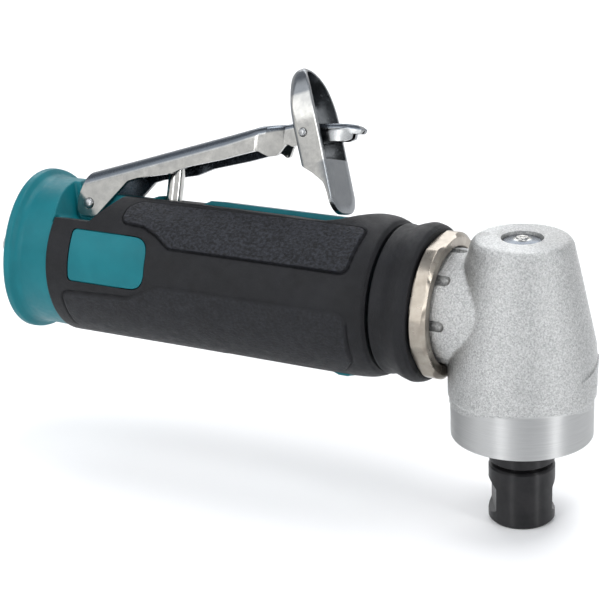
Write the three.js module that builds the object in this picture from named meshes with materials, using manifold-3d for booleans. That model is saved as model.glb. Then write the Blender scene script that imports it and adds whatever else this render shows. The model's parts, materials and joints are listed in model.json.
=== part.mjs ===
// Right-angle air die grinder with a composite handle, drawn as an assembly of separate pieces.
// Millimetres.  X runs along the handle towards the angle head, Z up along the spindle.
// The origin is the middle of the tool's footprint, level with the collet nut's end face.
import * as THREE from "three";
import { mergeVertices } from "three/addons/utils/BufferGeometryUtils.js";
import Module from "manifold-3d";

const wasm = await Module();
wasm.setup();

// ---------------------------------------------------------------- main sizes
const AXIS_HEIGHT = 51.9; // handle axis above the collet nut's end face
const SPINDLE_X = 62.5; // spindle axis ahead of the middle of the tool's length
const CLOCKING = 18; // degrees the lever side of the handle leans from the spindle's plane
const GAP = 0.3; // running or fitting clearance drawn between neighbours
const FACETS = 0.62; // share of each round's nominal facet count that is drawn

// ------------------------------------------------------------ shape helpers
// A geometry as a solid that can be cut and joined.
function solidOf(geometry) {
  const bare = geometry.clone();
  bare.deleteAttribute("normal");
  bare.deleteAttribute("uv");
  const merged = mergeVertices(bare, 1e-4);
  const kept = [];
  const index = merged.index.array;
  for (let i = 0; i < index.length; i += 3) {
    const [a, b, c] = [index[i], index[i + 1], index[i + 2]];
    if (a !== b && b !== c && a !== c) kept.push(a, b, c);
  }
  const build = (order) =>
    new wasm.Manifold(
      new wasm.Mesh({
        numProp: 3,
        vertProperties: new Float32Array(merged.attributes.position.array),
        triVerts: new Uint32Array(order),
      }),
    );
  const made = build(kept);
  if (made.volume() > 0) return made;
  const turned = [];
  for (let i = 0; i < kept.length; i += 3) turned.push(kept[i], kept[i + 2], kept[i + 1]);
  return build(turned);
}

// A closed profile of [radius, height] turned about Z.
function turnZ(profile, segments = 48) {
  const points = [...profile, profile[0]].map(([r, h]) => new THREE.Vector2(r, h));
  const geometry = new THREE.LatheGeometry(points, 4 * Math.round((segments * FACETS) / 4));
  geometry.rotateX(Math.PI / 2);
  return solidOf(geometry);
}

// A closed profile of [x, radius] turned about X.
function turnX(profile, segments = 48) {
  return turnZ(profile.map(([x, r]) => [r, x]), segments).rotate([0, 90, 0]);
}

// A plain rod or tube about X between two stations, moved to y, z.
function rodX(x0, x1, radius, bore = 0, y = 0, z = 0, segments = 32) {
  return turnX([[x0, bore], [x1, bore], [x1, radius], [x0, radius]], segments).translate([0, y, z]);
}

// A plain rod or tube about Z between two heights, moved to x, y.
function rodZ(z0, z1, radius, bore = 0, x = 0, y = 0, segments = 32) {
  return turnZ([[bore, z0], [radius, z0], [radius, z1], [bore, z1]], segments).translate([x, y, 0]);
}

// A rod about Y between two stations, at x, z.
function rodY(y0, y1, radius, x, z, segments = 24) {
  const rod = turnZ([[0, y0], [radius, y0], [radius, y1], [0, y1]], segments);
  return rod.rotate([-90, 0, 0]).translate([x, 0, z]);
}

// A block from its two opposite corners.
function block(low, high) {
  const size = high.map((v, i) => v - low[i]);
  const geometry = new THREE.BoxGeometry(...size);
  geometry.translate(...low.map((v, i) => v + size[i] / 2));
  return solidOf(geometry);
}

// An outline of [x, z] points as a prism between two stations of y.
function prismY(outline, y0, y1) {
  const shape = new THREE.Shape(outline.map(([x, z]) => new THREE.Vector2(x, z)));
  const geometry = new THREE.ExtrudeGeometry(shape, { depth: y1 - y0, bevelEnabled: false });
  geometry.rotateX(Math.PI / 2);
  geometry.translate(0, y1, 0);
  return solidOf(geometry);
}

// An outline of [y, z] points as a prism between two stations of x.
function prismX(outline, x0, x1) {
  const shape = new THREE.Shape(outline.map(([y, z]) => new THREE.Vector2(y, z)));
  const geometry = new THREE.ExtrudeGeometry(shape, { depth: x1 - x0, bevelEnabled: false });
  geometry.rotateX(Math.PI / 2);
  geometry.rotateZ(Math.PI / 2);
  geometry.translate(x0, 0, 0);
  return solidOf(geometry);
}

// Rings of equal point count joined into one skin, with the given triangles filling its ends.
function skin(rings, endTriangles) {
  const count = rings[0].length;
  const triangles = [...endTriangles];
  for (let s = 0; s + 1 < rings.length; s++)
    for (let i = 0; i < count; i++) {
      const j = (i + 1) % count;
      const a = s * count + i;
      const b = s * count + j;
      triangles.push(a, b, a + count, b, b + count, a + count);
    }
  const geometry = new THREE.BufferGeometry();
  geometry.setAttribute("position", new THREE.Float32BufferAttribute(rings.flat(2), 3));
  geometry.setIndex(triangles);
  return solidOf(geometry);
}

// Rings that each lie across X, joined and closed at both ends.
function loft(rings) {
  const flat = rings[0].map(([, y, z]) => new THREE.Vector2(y, z));
  const around = Math.sign(THREE.ShapeUtils.area(flat));
  const last = (rings.length - 1) * flat.length;
  const ends = [];
  for (const [a, b, c] of THREE.ShapeUtils.triangulateShape(flat, [])) {
    const way = Math.sign(THREE.ShapeUtils.area([flat[a], flat[b], flat[c]])) === around;
    const [p, q] = way ? [b, c] : [c, b];
    ends.push(a, q, p, last + a, last + p, last + q);
  }
  return skin(rings, ends);
}

const joined = (...solids) => solids.reduce((a, b) => a.add(b));
const degrees = (d) => (d * Math.PI) / 180;

// ---------------------------------------------------------------- materials
const MATERIALS = {
  teal: { color: 0x1c8494, roughness: 0.5, metalness: 0 },
  rubber: { color: 0x35363a, roughness: 0.85, metalness: 0 },
  nickel: { color: 0x9c9588, roughness: 0.35, metalness: 1 },
  casting: { color: 0xc4c8ca, roughness: 0.55, metalness: 0.8 },
  bright: { color: 0xb9bcbf, roughness: 0.25, metalness: 1 },
  steel: { color: 0x8f9396, roughness: 0.4, metalness: 1 },
  black: { color: 0x1d1d1f, roughness: 0.45, metalness: 0.6 },
  spring: { color: 0x7c7f83, roughness: 0.35, metalness: 1 },
  seal: { color: 0x181818, roughness: 0.8, metalness: 0 },
  felt: { color: 0xb7b09c, roughness: 1, metalness: 0 },
  brass: { color: 0xb08d45, roughness: 0.4, metalness: 1 },
  phenolic: { color: 0x7a4a2a, roughness: 0.6, metalness: 0 },
};

const tool = new THREE.Group();
const handle = new THREE.Group();
const head = new THREE.Group();
handle.rotation.x = -degrees(CLOCKING);
handle.position.set(SPINDLE_X, 0, AXIS_HEIGHT);
head.position.set(SPINDLE_X, 0, AXIS_HEIGHT);
tool.add(handle, head);

function piece(group, name, solid, material) {
  const mesh = solid.getMesh();
  const geometry = new THREE.BufferGeometry();
  geometry.setAttribute("position", new THREE.BufferAttribute(mesh.vertProperties, 3));
  geometry.setIndex(new THREE.BufferAttribute(mesh.triVerts, 1));
  geometry.computeVertexNormals();
  const made = new THREE.Mesh(geometry, new THREE.MeshStandardMaterial(MATERIALS[material]));
  made.name = name;
  group.add(made);
}

// =================================================================== HANDLE
// Handle and head are both drawn from the point where the spindle axis meets the handle axis.
// In the handle's own frame Z points at the lever and Y lies along the pivot pin.

const REAR = -136.2; // rear face of the housing
const SEAT_END = -121.6; // inner end of the seat the inlet bushing screws into
const COLLAR_END = -122.4; // where the bare rear collar meets the rubber grip
const GRIP_FRONT = -31.7; // front edge of the rubber grip
const CORE_R = 15; // moulded core under the rubber
const MOTOR_R = 13; // bore that takes the air motor
const FLAT_TOP = 16.6; // flattened top of the grip under the lever
const EAR_FLOOR = 9.2; // floor of the two pockets the lever ears hang in
const BOSS_HALF = 5.7; // half width of the boss between the ears
const PIVOT = [-118.9, 13.4]; // lever pivot pin, x and z
const STEM_X = -97.7; // throttle valve stem

// Side outline of the ear pockets: walls slope with the ears' own edges.
const pocketOutline = (floor, rear, front) => [
  [rear, floor],
  [front, floor],
  [front + 8.4, floor + 10.4],
  [front + 8.4, 24],
  [rear - 5.2, 24],
];

// --- motor_housing
const housingShell = turnX(
  [
    [REAR, 10.2],
    [REAR, 18.8],
    [REAR + 0.4, 20.3],
    [REAR + 1.3, 21.1],
    [REAR + 3.4, 21.1],
    [REAR + 4.5, 20.5],
    [REAR + 5.2, 19.5],
    [REAR + 6.2, 19.3],
    [COLLAR_END, 19.5],
    [COLLAR_END, CORE_R],
    [GRIP_FRONT, CORE_R],
    [GRIP_FRONT, MOTOR_R],
    [-90, MOTOR_R],
    [-90, 3.2],
    [-106.5, 3.2],
    [-106.5, 7.3],
    [SEAT_END, 7.3],
    [SEAT_END, 8.9],
    [SEAT_END - 6, 8.9],
    [SEAT_END - 6, 10.2],
  ],
  64,
);
const muffle = turnX([[REAR - 1, 10.6], [REAR + 10, 10.6], [REAR + 10, 16.8], [REAR - 1, 16.8]], 48);
const housingBoss = block([-124.5, -BOSS_HALF, 8], [-103.6, BOSS_HALF, FLAT_TOP - 0.1]);
const RAIL_TOP = 17.8; // the lock's foot rests just above this rib
const topRailLine = [
  [-87.4, 13],
  [-87.4, 16.4],
  [-84.6, RAIL_TOP],
  [-47.2, RAIL_TOP],
  [-46, 16.6],
  [-46, 13],
];
const lowRailLine = [
  [-76, -13],
  [-46, -13],
  [-40.5, -14],
  [-40.5, -20.0],
  [-44.0, -20.0],
  [-46.0, -19.4],
  [-74, -19.2],
  [-76, -17],
];
const topRail = prismY(topRailLine, -3.6, 3.6);
const lowRail = prismY(lowRailLine, -4, 4);
let housing = joined(housingShell, housingBoss, topRail, lowRail);
housing = housing.subtract(muffle);
housing = housing.subtract(rodX(-90, -30, MOTOR_R, 0, 0, 0, 64));
for (const side of [-1, 1]) {
  const near = Math.min(side * BOSS_HALF, side * 30);
  const far = Math.max(side * BOSS_HALF, side * 30);
  housing = housing.subtract(prismY(pocketOutline(EAR_FLOOR, -121.6, -111.4), near, far));
}
const overBoss = [
  [-121.9, FLAT_TOP - 0.1],
  [-104, FLAT_TOP - 0.1],
  [-104, 24],
  [-127, 24],
  [-124.6, FLAT_TOP],
];
housing = housing.subtract(prismY(overBoss, -30, 30));
housing = housing.subtract(rodX(REAR - 1, -121, 9.2, 0, 0, 0, 48)); // inlet bushing seat
housing = housing.subtract(rodX(-122, -106.5, 7.3, 0, 0, 0, 40)); // valve chamber
housing = housing.subtract(rodX(-107, -92.5, 4.8, 0, 0, 0, 32)); // passage under the stem
housing = housing.subtract(rodX(-93, -89, 3.2, 0, 0, 0, 24)); // air way to the motor
housing = housing.subtract(rodZ(3, 18, 3.3, 0, STEM_X, 0, 32)); // valve stem guide bore
housing = housing.subtract(rodY(-8, 8, 1.35 + GAP, PIVOT[0], PIVOT[1]));
for (let i = -2; i <= 2; i++) {
  const a = degrees(180 + 34 * i);
  const way = rodX(REAR + 9, -88, 1.9, 0, 11.2 * Math.sin(a), 11.2 * Math.cos(a), 16);
  housing = housing.subtract(way); // exhaust way from the motor to the rear chamber
}
piece(handle, "motor_housing", housing, "teal");

// --- grip_overmould: a sleeve that is round at the sides and flattened on top
function gripRing(x, radius, flat) {
  const ring = [];
  const steps = 48;
  for (let i = 0; i < steps; i++) {
    const a = (i / steps) * 2 * Math.PI;
    const r = Math.min(radius, flat / Math.max(0.3, Math.cos(a)));
    ring.push([x, r * Math.sin(a), r * Math.cos(a)]);
  }
  return ring;
}
const gripBody = loft([
  gripRing(COLLAR_END + GAP, 19.5, 19.5),
  gripRing(-112, 19.6, 17.4),
  gripRing(-106, 19.7, 16.5),
  gripRing(-88, 19.8, FLAT_TOP),
  gripRing(-49, 20.0, FLAT_TOP + 0.1),
  gripRing(-45, 20.1, 17.9),
  gripRing(-41, 20.2, 19.2),
  gripRing(-37.5, 20.1, 19.9),
  gripRing(-34.8, 19.8, 19.8),
  gripRing(-32.6, 19.1, 19.1),
  gripRing(GRIP_FRONT, 18.4, 18.4),
]);
let grip = gripBody.subtract(rodX(-124, -30, CORE_R + GAP, 0, 0, 0, 64));
grip = grip.subtract(prismY(pocketOutline(EAR_FLOOR, -126, -111.4), -30, 30));
grip = grip.subtract(block([-112, -BOSS_HALF - GAP, 8], [-103.3, BOSS_HALF + GAP, 20]));
grip = grip.subtract(prismY([[-87.8, 12], [-87.8, 20], [-46, 20], [-45.6, 12]], -3.9, 3.9));
grip = grip.subtract(prismY([[-76.4, -12], [-76.4, -24], [-40.1, -24], [-40.1, -12]], -4.3, 4.3));
grip = grip.subtract(rodZ(10, 24, 3.4, 0, STEM_X, 0, 32));
const WINDOW = { x0: -115.2, x1: -92.2, z0: -6.2, z1: 7.2, cut: 4.5 };
const windowOutline = (inset) => [
  [WINDOW.x0 + inset, WINDOW.z0 + inset],
  [WINDOW.x1 - WINDOW.cut, WINDOW.z0 + inset],
  [WINDOW.x1 - inset, WINDOW.z0 + WINDOW.cut],
  [WINDOW.x1 - inset, WINDOW.z1 - WINDOW.cut],
  [WINDOW.x1 - WINDOW.cut, WINDOW.z1 - inset],
  [WINDOW.x0 + inset, WINDOW.z1 - inset],
];
const inlayShell = rodX(-118, -90, 19.75, CORE_R + GAP, 0, 0, 64);
for (const [name, y0, y1] of [["side_inlay_near", -24, -10], ["side_inlay_far", 10, 24]]) {
  grip = grip.subtract(prismY(windowOutline(0), y0, y1));
  piece(handle, name, inlayShell.intersect(prismY(windowOutline(GAP), y0, y1)), "teal");
}
piece(handle, "grip_overmould", grip, "rubber");

// --- front_collar: waisted ring between the grip and the lock nut
piece(
  handle,
  "front_collar",
  turnX(
    [
      [-31.4, 14.4],
      [-31.4, 18.3],
      [-30.2, 18.0],
      [-28.8, 17.95],
      [-27.0, 18.4],
      [-25.2, 19.2],
      [-23.8, 19.4],
      [-22.4, 18.9],
      [-21.6, 17.8],
      [-21.6, 14.4],
    ],
    56,
  ),
  "rubber",
);

// --- lock_nut: thin hexagon with cut corners
const NUT_FLAT = 16.75; // half across flats
const NUT_CORNER = 17.75; // half across the cut corners
let nutBlank = rodX(-21.3, -17.2, NUT_CORNER, 14.4, 0, 0, 96);
nutBlank = nutBlank.intersect(
  turnX([[-21.3, 0], [-17.2, 0], [-17.2, 16.6], [-18.0, 17.75], [-20.6, 17.75], [-21.3, 17.0]], 96),
);
for (let i = 0; i < 6; i++) {
  const cut = block([-22, -12, NUT_FLAT], [-16, 12, 24]);
  nutBlank = nutBlank.subtract(cut.rotate([60 * i + 22.5, 0, 0]));
}
piece(handle, "lock_nut", nutBlank, "nickel");

// --- inlet_bushing: threaded air inlet with a hexagon flange outside
let bushing = turnX(
  [
    [-142.6, 5.7],
    [-142.6, 10.4],
    [-142.0, 11.0],
    [REAR - 0.4, 11.0],
    [REAR - 0.4, 8.8],
    [-122.2, 8.8],
    [-122.2, 7.0],
    [-127.5, 7.0],
    [-128.2, 5.4],
  ],
  48,
);
piece(handle, "inlet_bushing", bushing, "steel");

// --- inlet_screen: perforated cup pressed in the bushing
let screen = rodX(-126.9, -126.1, 6.7, 0, 0, 0, 32);
for (let ring = 0; ring < 2; ring++)
  for (let i = 0; i < 6 + 6 * ring; i++) {
    const a = (i / (6 + 6 * ring)) * 2 * Math.PI;
    const r = 2.3 + 2.2 * ring;
    screen = screen.subtract(rodX(-128, -125, 0.6, 0, r * Math.cos(a), r * Math.sin(a), 6));
  }
piece(handle, "inlet_screen", screen, "brass");

// --- exhaust_cover and silencer_felt in the rear annulus
let cover = rodX(REAR + 0.4, REAR + 2.2, 16.5, 11.4, 0, 0, 48);
for (let i = 0; i < 12; i++) {
  const a = ((i + 0.5) / 12) * 2 * Math.PI;
  cover = cover.subtract(rodX(REAR - 1, REAR + 4, 1.25, 0, 13.95 * Math.cos(a), 13.95 * Math.sin(a), 12));
}
piece(handle, "exhaust_cover", cover, "black");
piece(handle, "silencer_felt", rodX(REAR + 2.6, REAR + 9.4, 16.4, 11.0, 0, 0, 40), "felt");

// --- throttle_lever: pressed channel, wide at the rear and pinched to a nose
const LEVER_T = 1.2;
const topOf = (x) => (x < -70 ? 26.7 + 0.325 * (x + 106.4) : 38.5 + 0.1 * (x + 70));
function leverRing(x, half, low, bend) {
  const top = topOf(x);
  const t = LEVER_T;
  const inner = Math.max(0.4, bend - 0.7);
  const side = [
    [half, low],
    [half, top - bend],
    [half - 0.3 * bend, top - 0.3 * bend],
    [half - bend, top],
  ];
  const inside = [
    [half - t, low],
    [half - t, top - t - inner],
    [half - t - inner, top - t],
  ];
  const ring = [
    ...side.map(([y, z]) => [-y, z]),
    ...[...side].reverse(),
    ...inside,
    ...[...inside].reverse().map(([y, z]) => [-y, z]),
  ];
  return ring.map(([y, z]) => [x, y, z]);
}
let lever = loft([
  leverRing(-122.4, 7.2, 13.2, 2.2),
  leverRing(-121.5, 7.2, 11.2, 2.2),
  leverRing(-120.2, 7.2, 10.3, 2.2),
  leverRing(-118.6, 7.2, 10.1, 2.2),
  leverRing(-117.0, 7.2, 10.4, 2.2),
  leverRing(-115.8, 7.2, 11.2, 2.2),
  leverRing(-107.9, 7.2, 20.3, 2.2),
  leverRing(-106.4, 7.2, 21.0, 2.2),
  leverRing(-95.4, 7.2, 23.5, 2.2),
  leverRing(-91.0, 7.2, 25.7, 2.2),
  leverRing(-72.0, 7.2, 31.2, 2.0),
  leverRing(-70.0, 6.6, 30.6, 1.8),
  leverRing(-68.0, 4.4, 30.2, 1.4),
  leverRing(-66.4, 3.2, 31.4, 1.2),
  leverRing(-64.8, 3.0, 33.3, 1.2),
  leverRing(-58.0, 3.0, 33.4, 1.2),
  leverRing(-52.0, 2.9, 35.6, 1.2),
  leverRing(-48.6, 2.7, 37.6, 1.1),
  leverRing(-47.2, 2.5, 39.4, 1.0),
]);
const rearCut = prismY([[-126, 8], [-122.9, 8], [-122.2, 15], [-124, 26], [-126, 26]], -9, 9);
lever = lever.subtract(rearCut);
lever = lever.subtract(rodY(-9, 9, 1.7, PIVOT[0], PIVOT[1]));
const LOCK_PIN = [-59.4, 37.2]; // hinge of the safety lock, x and z
lever = lever.subtract(rodY(-9, 9, 1.35, LOCK_PIN[0], LOCK_PIN[1]));
piece(handle, "throttle_lever", lever, "bright");
piece(handle, "lever_pivot_pin", rodY(-7.9, 7.9, 1.35, PIVOT[0], PIVOT[1]), "steel");

// --- safety_lock: pressed dish above, flat leg below, drawn upright then leaned back
const LOCK_LEAN = 19.8;
const LOCK_HALF = 6.5;
const LOCK_T = 1.0;
const LOCK_FOOT = -21.3;
const FOOT_R = 4.2; // rounded corners of the foot
const SHELF = -7.6; // the dish above steps forward here to the flat leg below
const rearLine = [
  [0.8, 15.7],
  [-0.9, 14.6],
  [-1.9, 11.5],
  [-2.1, 7.0],
  [-2.3, 2.5],
  [-2.4, -3.4],
  [-2.2, -7.0],
  [0.3, -10.1],
  [2.5, -13.2],
  [2.9, -15.6],
  [2.9, LOCK_FOOT],
];
const frontLine = [
  [4.2, LOCK_FOOT],
  [4.2, 1.0],
  [4.0, 4.7],
  [3.4, 11.0],
  [2.5, 14.3],
  [1.9, 15.7],
];
const lockSide = prismY([...rearLine, ...frontLine], -LOCK_HALF, LOCK_HALF);
// Front outline, drawn smaller by inset: a tall half ellipse over a foot with rounded corners.
function lockFront(inset) {
  const half = LOCK_HALF - inset;
  const outline = [];
  for (let i = 0; i <= 12; i++) {
    const a = degrees(15 * i);
    outline.push([half * Math.cos(a), 2.0 + (13.7 - inset) * Math.sin(a)]);
  }
  for (let i = 0; i <= 6; i++) {
    const a = degrees(180 + 15 * i);
    outline.push([-half + FOOT_R + FOOT_R * Math.cos(a), LOCK_FOOT + FOOT_R + FOOT_R * Math.sin(a)]);
  }
  for (let i = 0; i <= 6; i++) {
    const a = degrees(270 + 15 * i);
    outline.push([half - FOOT_R + FOOT_R * Math.cos(a), LOCK_FOOT + FOOT_R + FOOT_R * Math.sin(a)]);
  }
  return outline;
}
let lock = lockSide.intersect(prismX(lockFront(0), -6, 8));
const dishLine = rearLine.slice(1, 6).map(([v, u]) => [v + LOCK_T, u]);
const dish = prismY([...dishLine, [-1.3, SHELF], [7, SHELF], [7, 15.4], [1.2, 15.4]], -20, 20);
const legBack = prismY([[-7, SHELF - 1], [3.1, SHELF - 1], [3.1, -14.5], [-7, -14.5]], -20, 20);
const within = prismX(lockFront(LOCK_T), -8, 8);
lock = lock.subtract(dish.intersect(within));
lock = lock.subtract(legBack.intersect(within));
lock = lock.subtract(block([-5, -3.8, -5.0], [0.2, 3.8, 6.5])); // window for the lever nose
lock = lock.subtract(block([-5, -5.4, -2.7], [0.2, 5.4, 2.7])); // room for the spring beside the nose
lock = lock.subtract(block([-5, -1.4, -6.6], [0.2, 1.4, -5.2])); // hook hole for the spring
lock = lock.subtract(rodY(-9, 9, 1.35, 0, 0));
lock = lock.rotate([0, -LOCK_LEAN, 0]).translate([LOCK_PIN[0], 0, LOCK_PIN[1]]);
piece(handle, "safety_lock", lock, "bright");
piece(handle, "lock_pin", rodY(-7.0, 7.0, 1.05, LOCK_PIN[0], LOCK_PIN[1]), "steel");

// --- valve stem, its guide and seal, and the tilting tip valve behind it
piece(
  handle,
  "valve_stem",
  turnZ(
    [
      [0, 1.9],
      [1.6, 1.9],
      [2.1, 2.5],
      [2.1, 6.2],
      [1.6, 6.2],
      [1.6, 8.2],
      [2.1, 8.2],
      [2.1, 27.0],
      [1.4, 27.7],
      [0, 27.9],
    ],
    32,
  ).translate([STEM_X, 0, 0]),
  "bright",
);
piece(handle, "stem_bushing", rodZ(5.4, 15.8, 3.0, 2.4, STEM_X, 0, 32), "brass");
piece(
  handle,
  "tip_valve",
  turnX(
    [
      [-110.6, 0],
      [-110.6, 3.0],
      [-109.9, 5.2],
      [-108.7, 5.2],
      [-108.7, 2.0],
      [-107.4, 1.4],
      [-94.6, 1.4],
      [-94.2, 1.0],
      [-94.2, 0],
    ],
    32,
  ),
  "steel",
);
piece(handle, "valve_seat", rodX(-108.3, -106.8, 7.0, 3.9, 0, 0, 40), "seal");

// A round wire wound along +X from a start radius to an end radius.
function coil(x0, x1, r0, r1, wire, turns, perTurn = 14, sides = 6) {
  const rings = [];
  const steps = Math.round(turns * perTurn);
  for (let s = 0; s <= steps; s++) {
    const f = s / steps;
    const a = f * turns * 2 * Math.PI;
    const r = r0 + (r1 - r0) * f;
    const x = x0 + (x1 - x0) * f;
    const ring = [];
    for (let i = 0; i < sides; i++) {
      const b = (i / sides) * 2 * Math.PI;
      const out = r + wire * Math.cos(b);
      ring.push([x + wire * Math.sin(b), out * Math.cos(a), out * Math.sin(a)]);
    }
    rings.push(ring);
  }
  const last = steps * sides;
  const ends = [];
  for (let i = 1; i + 1 < sides; i++) ends.push(0, i + 1, i, last, last + i, last + i + 1);
  return skin(rings, ends);
}
piece(handle, "valve_spring", coil(-125.2, -111.5, 5.6, 2.6, 0.45, 5), "spring");
piece(
  handle,
  "lock_spring",
  coil(0, 1.1, 1.9, 1.9, 0.28, 1.5).rotate([0, 0, -90]).translate([LOCK_PIN[0], 4.95, LOCK_PIN[1]]),
  "spring",
);

// --- air motor
const PLATE_R = MOTOR_R - GAP;
const motorBore = rodX(-90, -30, 10.3, 0, 0, 1.1, 56);
let cylinder = rodX(-81.9, -46.1, PLATE_R, 0, 0, 0, 56).subtract(motorBore);
for (let i = 0; i < 4; i++) {
  cylinder = cylinder.subtract(rodY(-20, 0, 1.3, -76 + 8 * i, -3, 12)); // exhaust ports
}
piece(handle, "motor_cylinder", cylinder, "steel");
for (const [name, face, dir] of [["rear_end_plate", -82.2, -1], ["front_end_plate", -45.8, 1]]) {
  const out = face + 7.4 * dir;
  const pocket = face + 2.4 * dir;
  piece(
    handle,
    name,
    turnX([[face, 3.4], [pocket, 3.4], [pocket, 5.7], [out, 5.7], [out, PLATE_R], [face, PLATE_R]], 48),
    "steel",
  );
  const b0 = face + 2.8 * dir;
  const b1 = face + 6.8 * dir;
  const bearing = name.replace("end_plate", "rotor_bearing");
  piece(handle, bearing, rodX(Math.min(b0, b1), Math.max(b0, b1), 5.4, 3.35, 0, 0, 36), "bright");
}

// rotor with its vanes drawn pulled in, so that it clears the bore all the way round
let rotor = joined(
  rodX(-81.8, -46.2, 8.8, 0, 0, 0, 48),
  rodX(-89.2, -80, 3.0, 0, 0, 0, 24),
  rodX(-48, -24.4, 3.0, 0, 0, 0, 24),
);
const VANES = 4;
for (let i = 0; i < VANES; i++) {
  const turn = (90 * i) + 45;
  rotor = rotor.subtract(block([-83, -1.1, 4.2], [-45, 1.1, 12]).rotate([turn, 0, 0]));
  const vane = block([-81.8, -0.8, 4.6], [-46.2, 0.8, 8.75]).rotate([turn, 0, 0]);
  piece(handle, "vane_" + (i + 1), vane, "phenolic");
}
piece(handle, "rotor", rotor, "steel");
const clampWasher = turnX([[-38.1, 6.5], [-37.5, 6.5], [-37.5, 12.6], [-38.1, 12.6]], 40);
piece(handle, "motor_clamp_washer", clampWasher, "spring");

// ===================================================================== HEAD
// angle_head: cast body with a side neck; the ring below the casting is machined.
const headSkin = turnZ(
  [
    [0, 19.3],
    [10.4, 19.3],
    [11.3, 19.0],
    [11.9, 18.2],
    [14.35, 7.4],
    [16.7, -3.0],
    [17.3, -6.2],
    [17.6, -9.6],
    [17.6, -18.6],
    [17.0, -19.3],
    [17.0, -29.2],
    [16.7, -29.5],
    [0, -29.5],
  ],
  72,
);
const neck = turnX(
  [
    [-37.1, 0],
    [-37.1, 12.6],
    [-31.6, 12.6],
    [-31.4, 14.05],
    [-14, 14.05],
    [-9, 14.4],
    [0, 14.4],
    [0, 0],
  ],
  56,
);
let headBody = joined(headSkin, neck);
headBody = headBody.subtract(
  turnZ(
    [
      [0, -31],
      [13.7, -31],
      [13.7, -26.6],
      [11.3, -26.6],
      [11.3, 5.6],
      [8.3, 5.6],
      [8.3, 13.2],
      [5, 13.2],
      [5, 14.4],
      [1.5, 14.4],
      [1.5, 18.0],
      [5.0, 18.0],
      [5.0, 21],
      [0, 21],
    ],
    48,
  ),
);
const nutRoom = turnX([[-24, 14.05], [-16.9, 14.05], [-16.9, 19], [-24, 19]], 56);
const neckBore = turnX([[-40, 0], [-40, 9.6], [-31.0, 9.6], [-31.0, 8.9], [-8, 8.9], [-8, 0]], 40);
headBody = headBody.subtract(nutRoom).subtract(neckBore);
// cast pockets around the neck, just in front of the nut
const NECK_POCKETS = 8;
for (let i = 0; i < NECK_POCKETS; i++) {
  const pocket = joined(rodX(-24, -15.1, 1.1, 0, 0, 14.3, 10), rodZ(13.2, 16, 1.1, 0, -15.1, 0, 10));
  headBody = headBody.subtract(pocket.rotate([(360 / NECK_POCKETS) * i, 0, 0]));
}
piece(head, "angle_head", headBody, "casting");

// --- grease fitting in the top recess
piece(
  head,
  "grease_fitting",
  turnZ(
    [
      [0, 15.2],
      [1.15, 15.2],
      [1.15, 18.3],
      [4.5, 18.3],
      [4.5, 18.8],
      [2.3, 18.95],
      [1.5, 19.7],
      [0.9, 20.0],
      [0, 20.0],
    ],
    32,
  ),
  "bright",
);

// --- bevel gears: straight teeth that shrink towards the common apex at the origin
// Both gears are drawn about Z with the apex at z = 0 and the large end at z = -reach.
function bevelGear(teeth, pitchR, reach, face, bore, hub, turnBy) {
  const cone = Math.hypot(pitchR, reach);
  const small = (cone - face) / cone;
  const root = pitchR - 1.0;
  const body = turnZ(
    [
      [bore, -reach - hub],
      [pitchR * 0.8, -reach - hub],
      [root, -reach],
      [root * small, -reach * small],
      [bore, -reach * small],
    ],
    36,
  );
  const step = 360 / teeth;
  const wide = (pitchR * degrees(step)) / 2;
  let gear = body;
  for (let i = 0; i < teeth; i++) {
    const corners = [
      [root - 0.4, 0.44 * wide],
      [pitchR + 0.72, 0.2 * wide],
    ];
    const ringAt = (k) => [
      [corners[0][0] * k, -corners[0][1] * k],
      [corners[1][0] * k, -corners[1][1] * k],
      [corners[1][0] * k, corners[1][1] * k],
      [corners[0][0] * k, corners[0][1] * k],
    ];
    const rings = [1, small].map((k) => ringAt(k).map(([r, y]) => [-reach * k, y, r]));
    const tooth = loft(rings).rotate([0, -90, 0]).rotate([0, 0, step * i + turnBy]);
    gear = gear.add(tooth);
  }
  return gear;
}
const GEAR = { teeth: 18, r: 8.4 };
const PINION = { teeth: 12, r: 5.6 };
const wheel = bevelGear(GEAR.teeth, GEAR.r, PINION.r, 2.9, 4.35, 3.6, 10);
piece(head, "bevel_gear", wheel, "steel");
let pinion = bevelGear(PINION.teeth, PINION.r, GEAR.r, 2.9, 0, 1.2, 0);
pinion = pinion.add(rodZ(-23.9, -8.6, 3.0, 0, 0, 0, 24));
piece(head, "bevel_pinion", pinion.rotate([0, 90, 0]), "steel");
piece(head, "pinion_bearing", rodX(-17.2, -12.4, 8.6, 3.35, 0, 0, 40), "bright");
piece(head, "pinion_coupling", rodX(-29.5, -19.2, 5.2, 3.3, 0, 0, 32), "steel");

// --- spindle and its bearings
const spindleBlank = turnZ(
  [
    [0, 12.8],
    [4.0, 12.8],
    [4.0, -9.6],
    [5.0, -10.0],
    [5.0, -27.2],
    [7.0, -27.4],
    [7.0, -30.2],
    [8.0, -30.4],
    [8.0, -35.9],
    [7.7, -36.2],
    [5.9, -36.2],
    [5.9, -45.0],
    [4.9, -45.0],
    [4.9, -37.6],
    [3.4, -36.6],
    [3.4, -24.0],
    [0, -24.0],
  ],
  48,
);
piece(head, "spindle", spindleBlank, "black");
piece(head, "upper_spindle_bearing", rodZ(7.0, 12.6, 8.0, 4.35, 0, 0, 40), "bright");
piece(head, "lower_spindle_bearing", rodZ(-26.2, -19.6, 11.0, 5.35, 0, 0, 48), "bright");
piece(head, "bearing_spacer", rodZ(-19.2, -10.3, 7.0, 5.35, 0, 0, 36), "steel");
let cap = turnZ([[7.4, -26.9], [13.3, -26.9], [13.3, -29.3], [12.9, -29.5], [7.4, -29.5]], 56);
for (let i = 0; i < 2; i++) cap = cap.subtract(rodZ(-31, -28, 1.0, 0, 10.4 * (1 - 2 * i), 0, 16));
piece(head, "bearing_cap", cap, "black");

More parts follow.
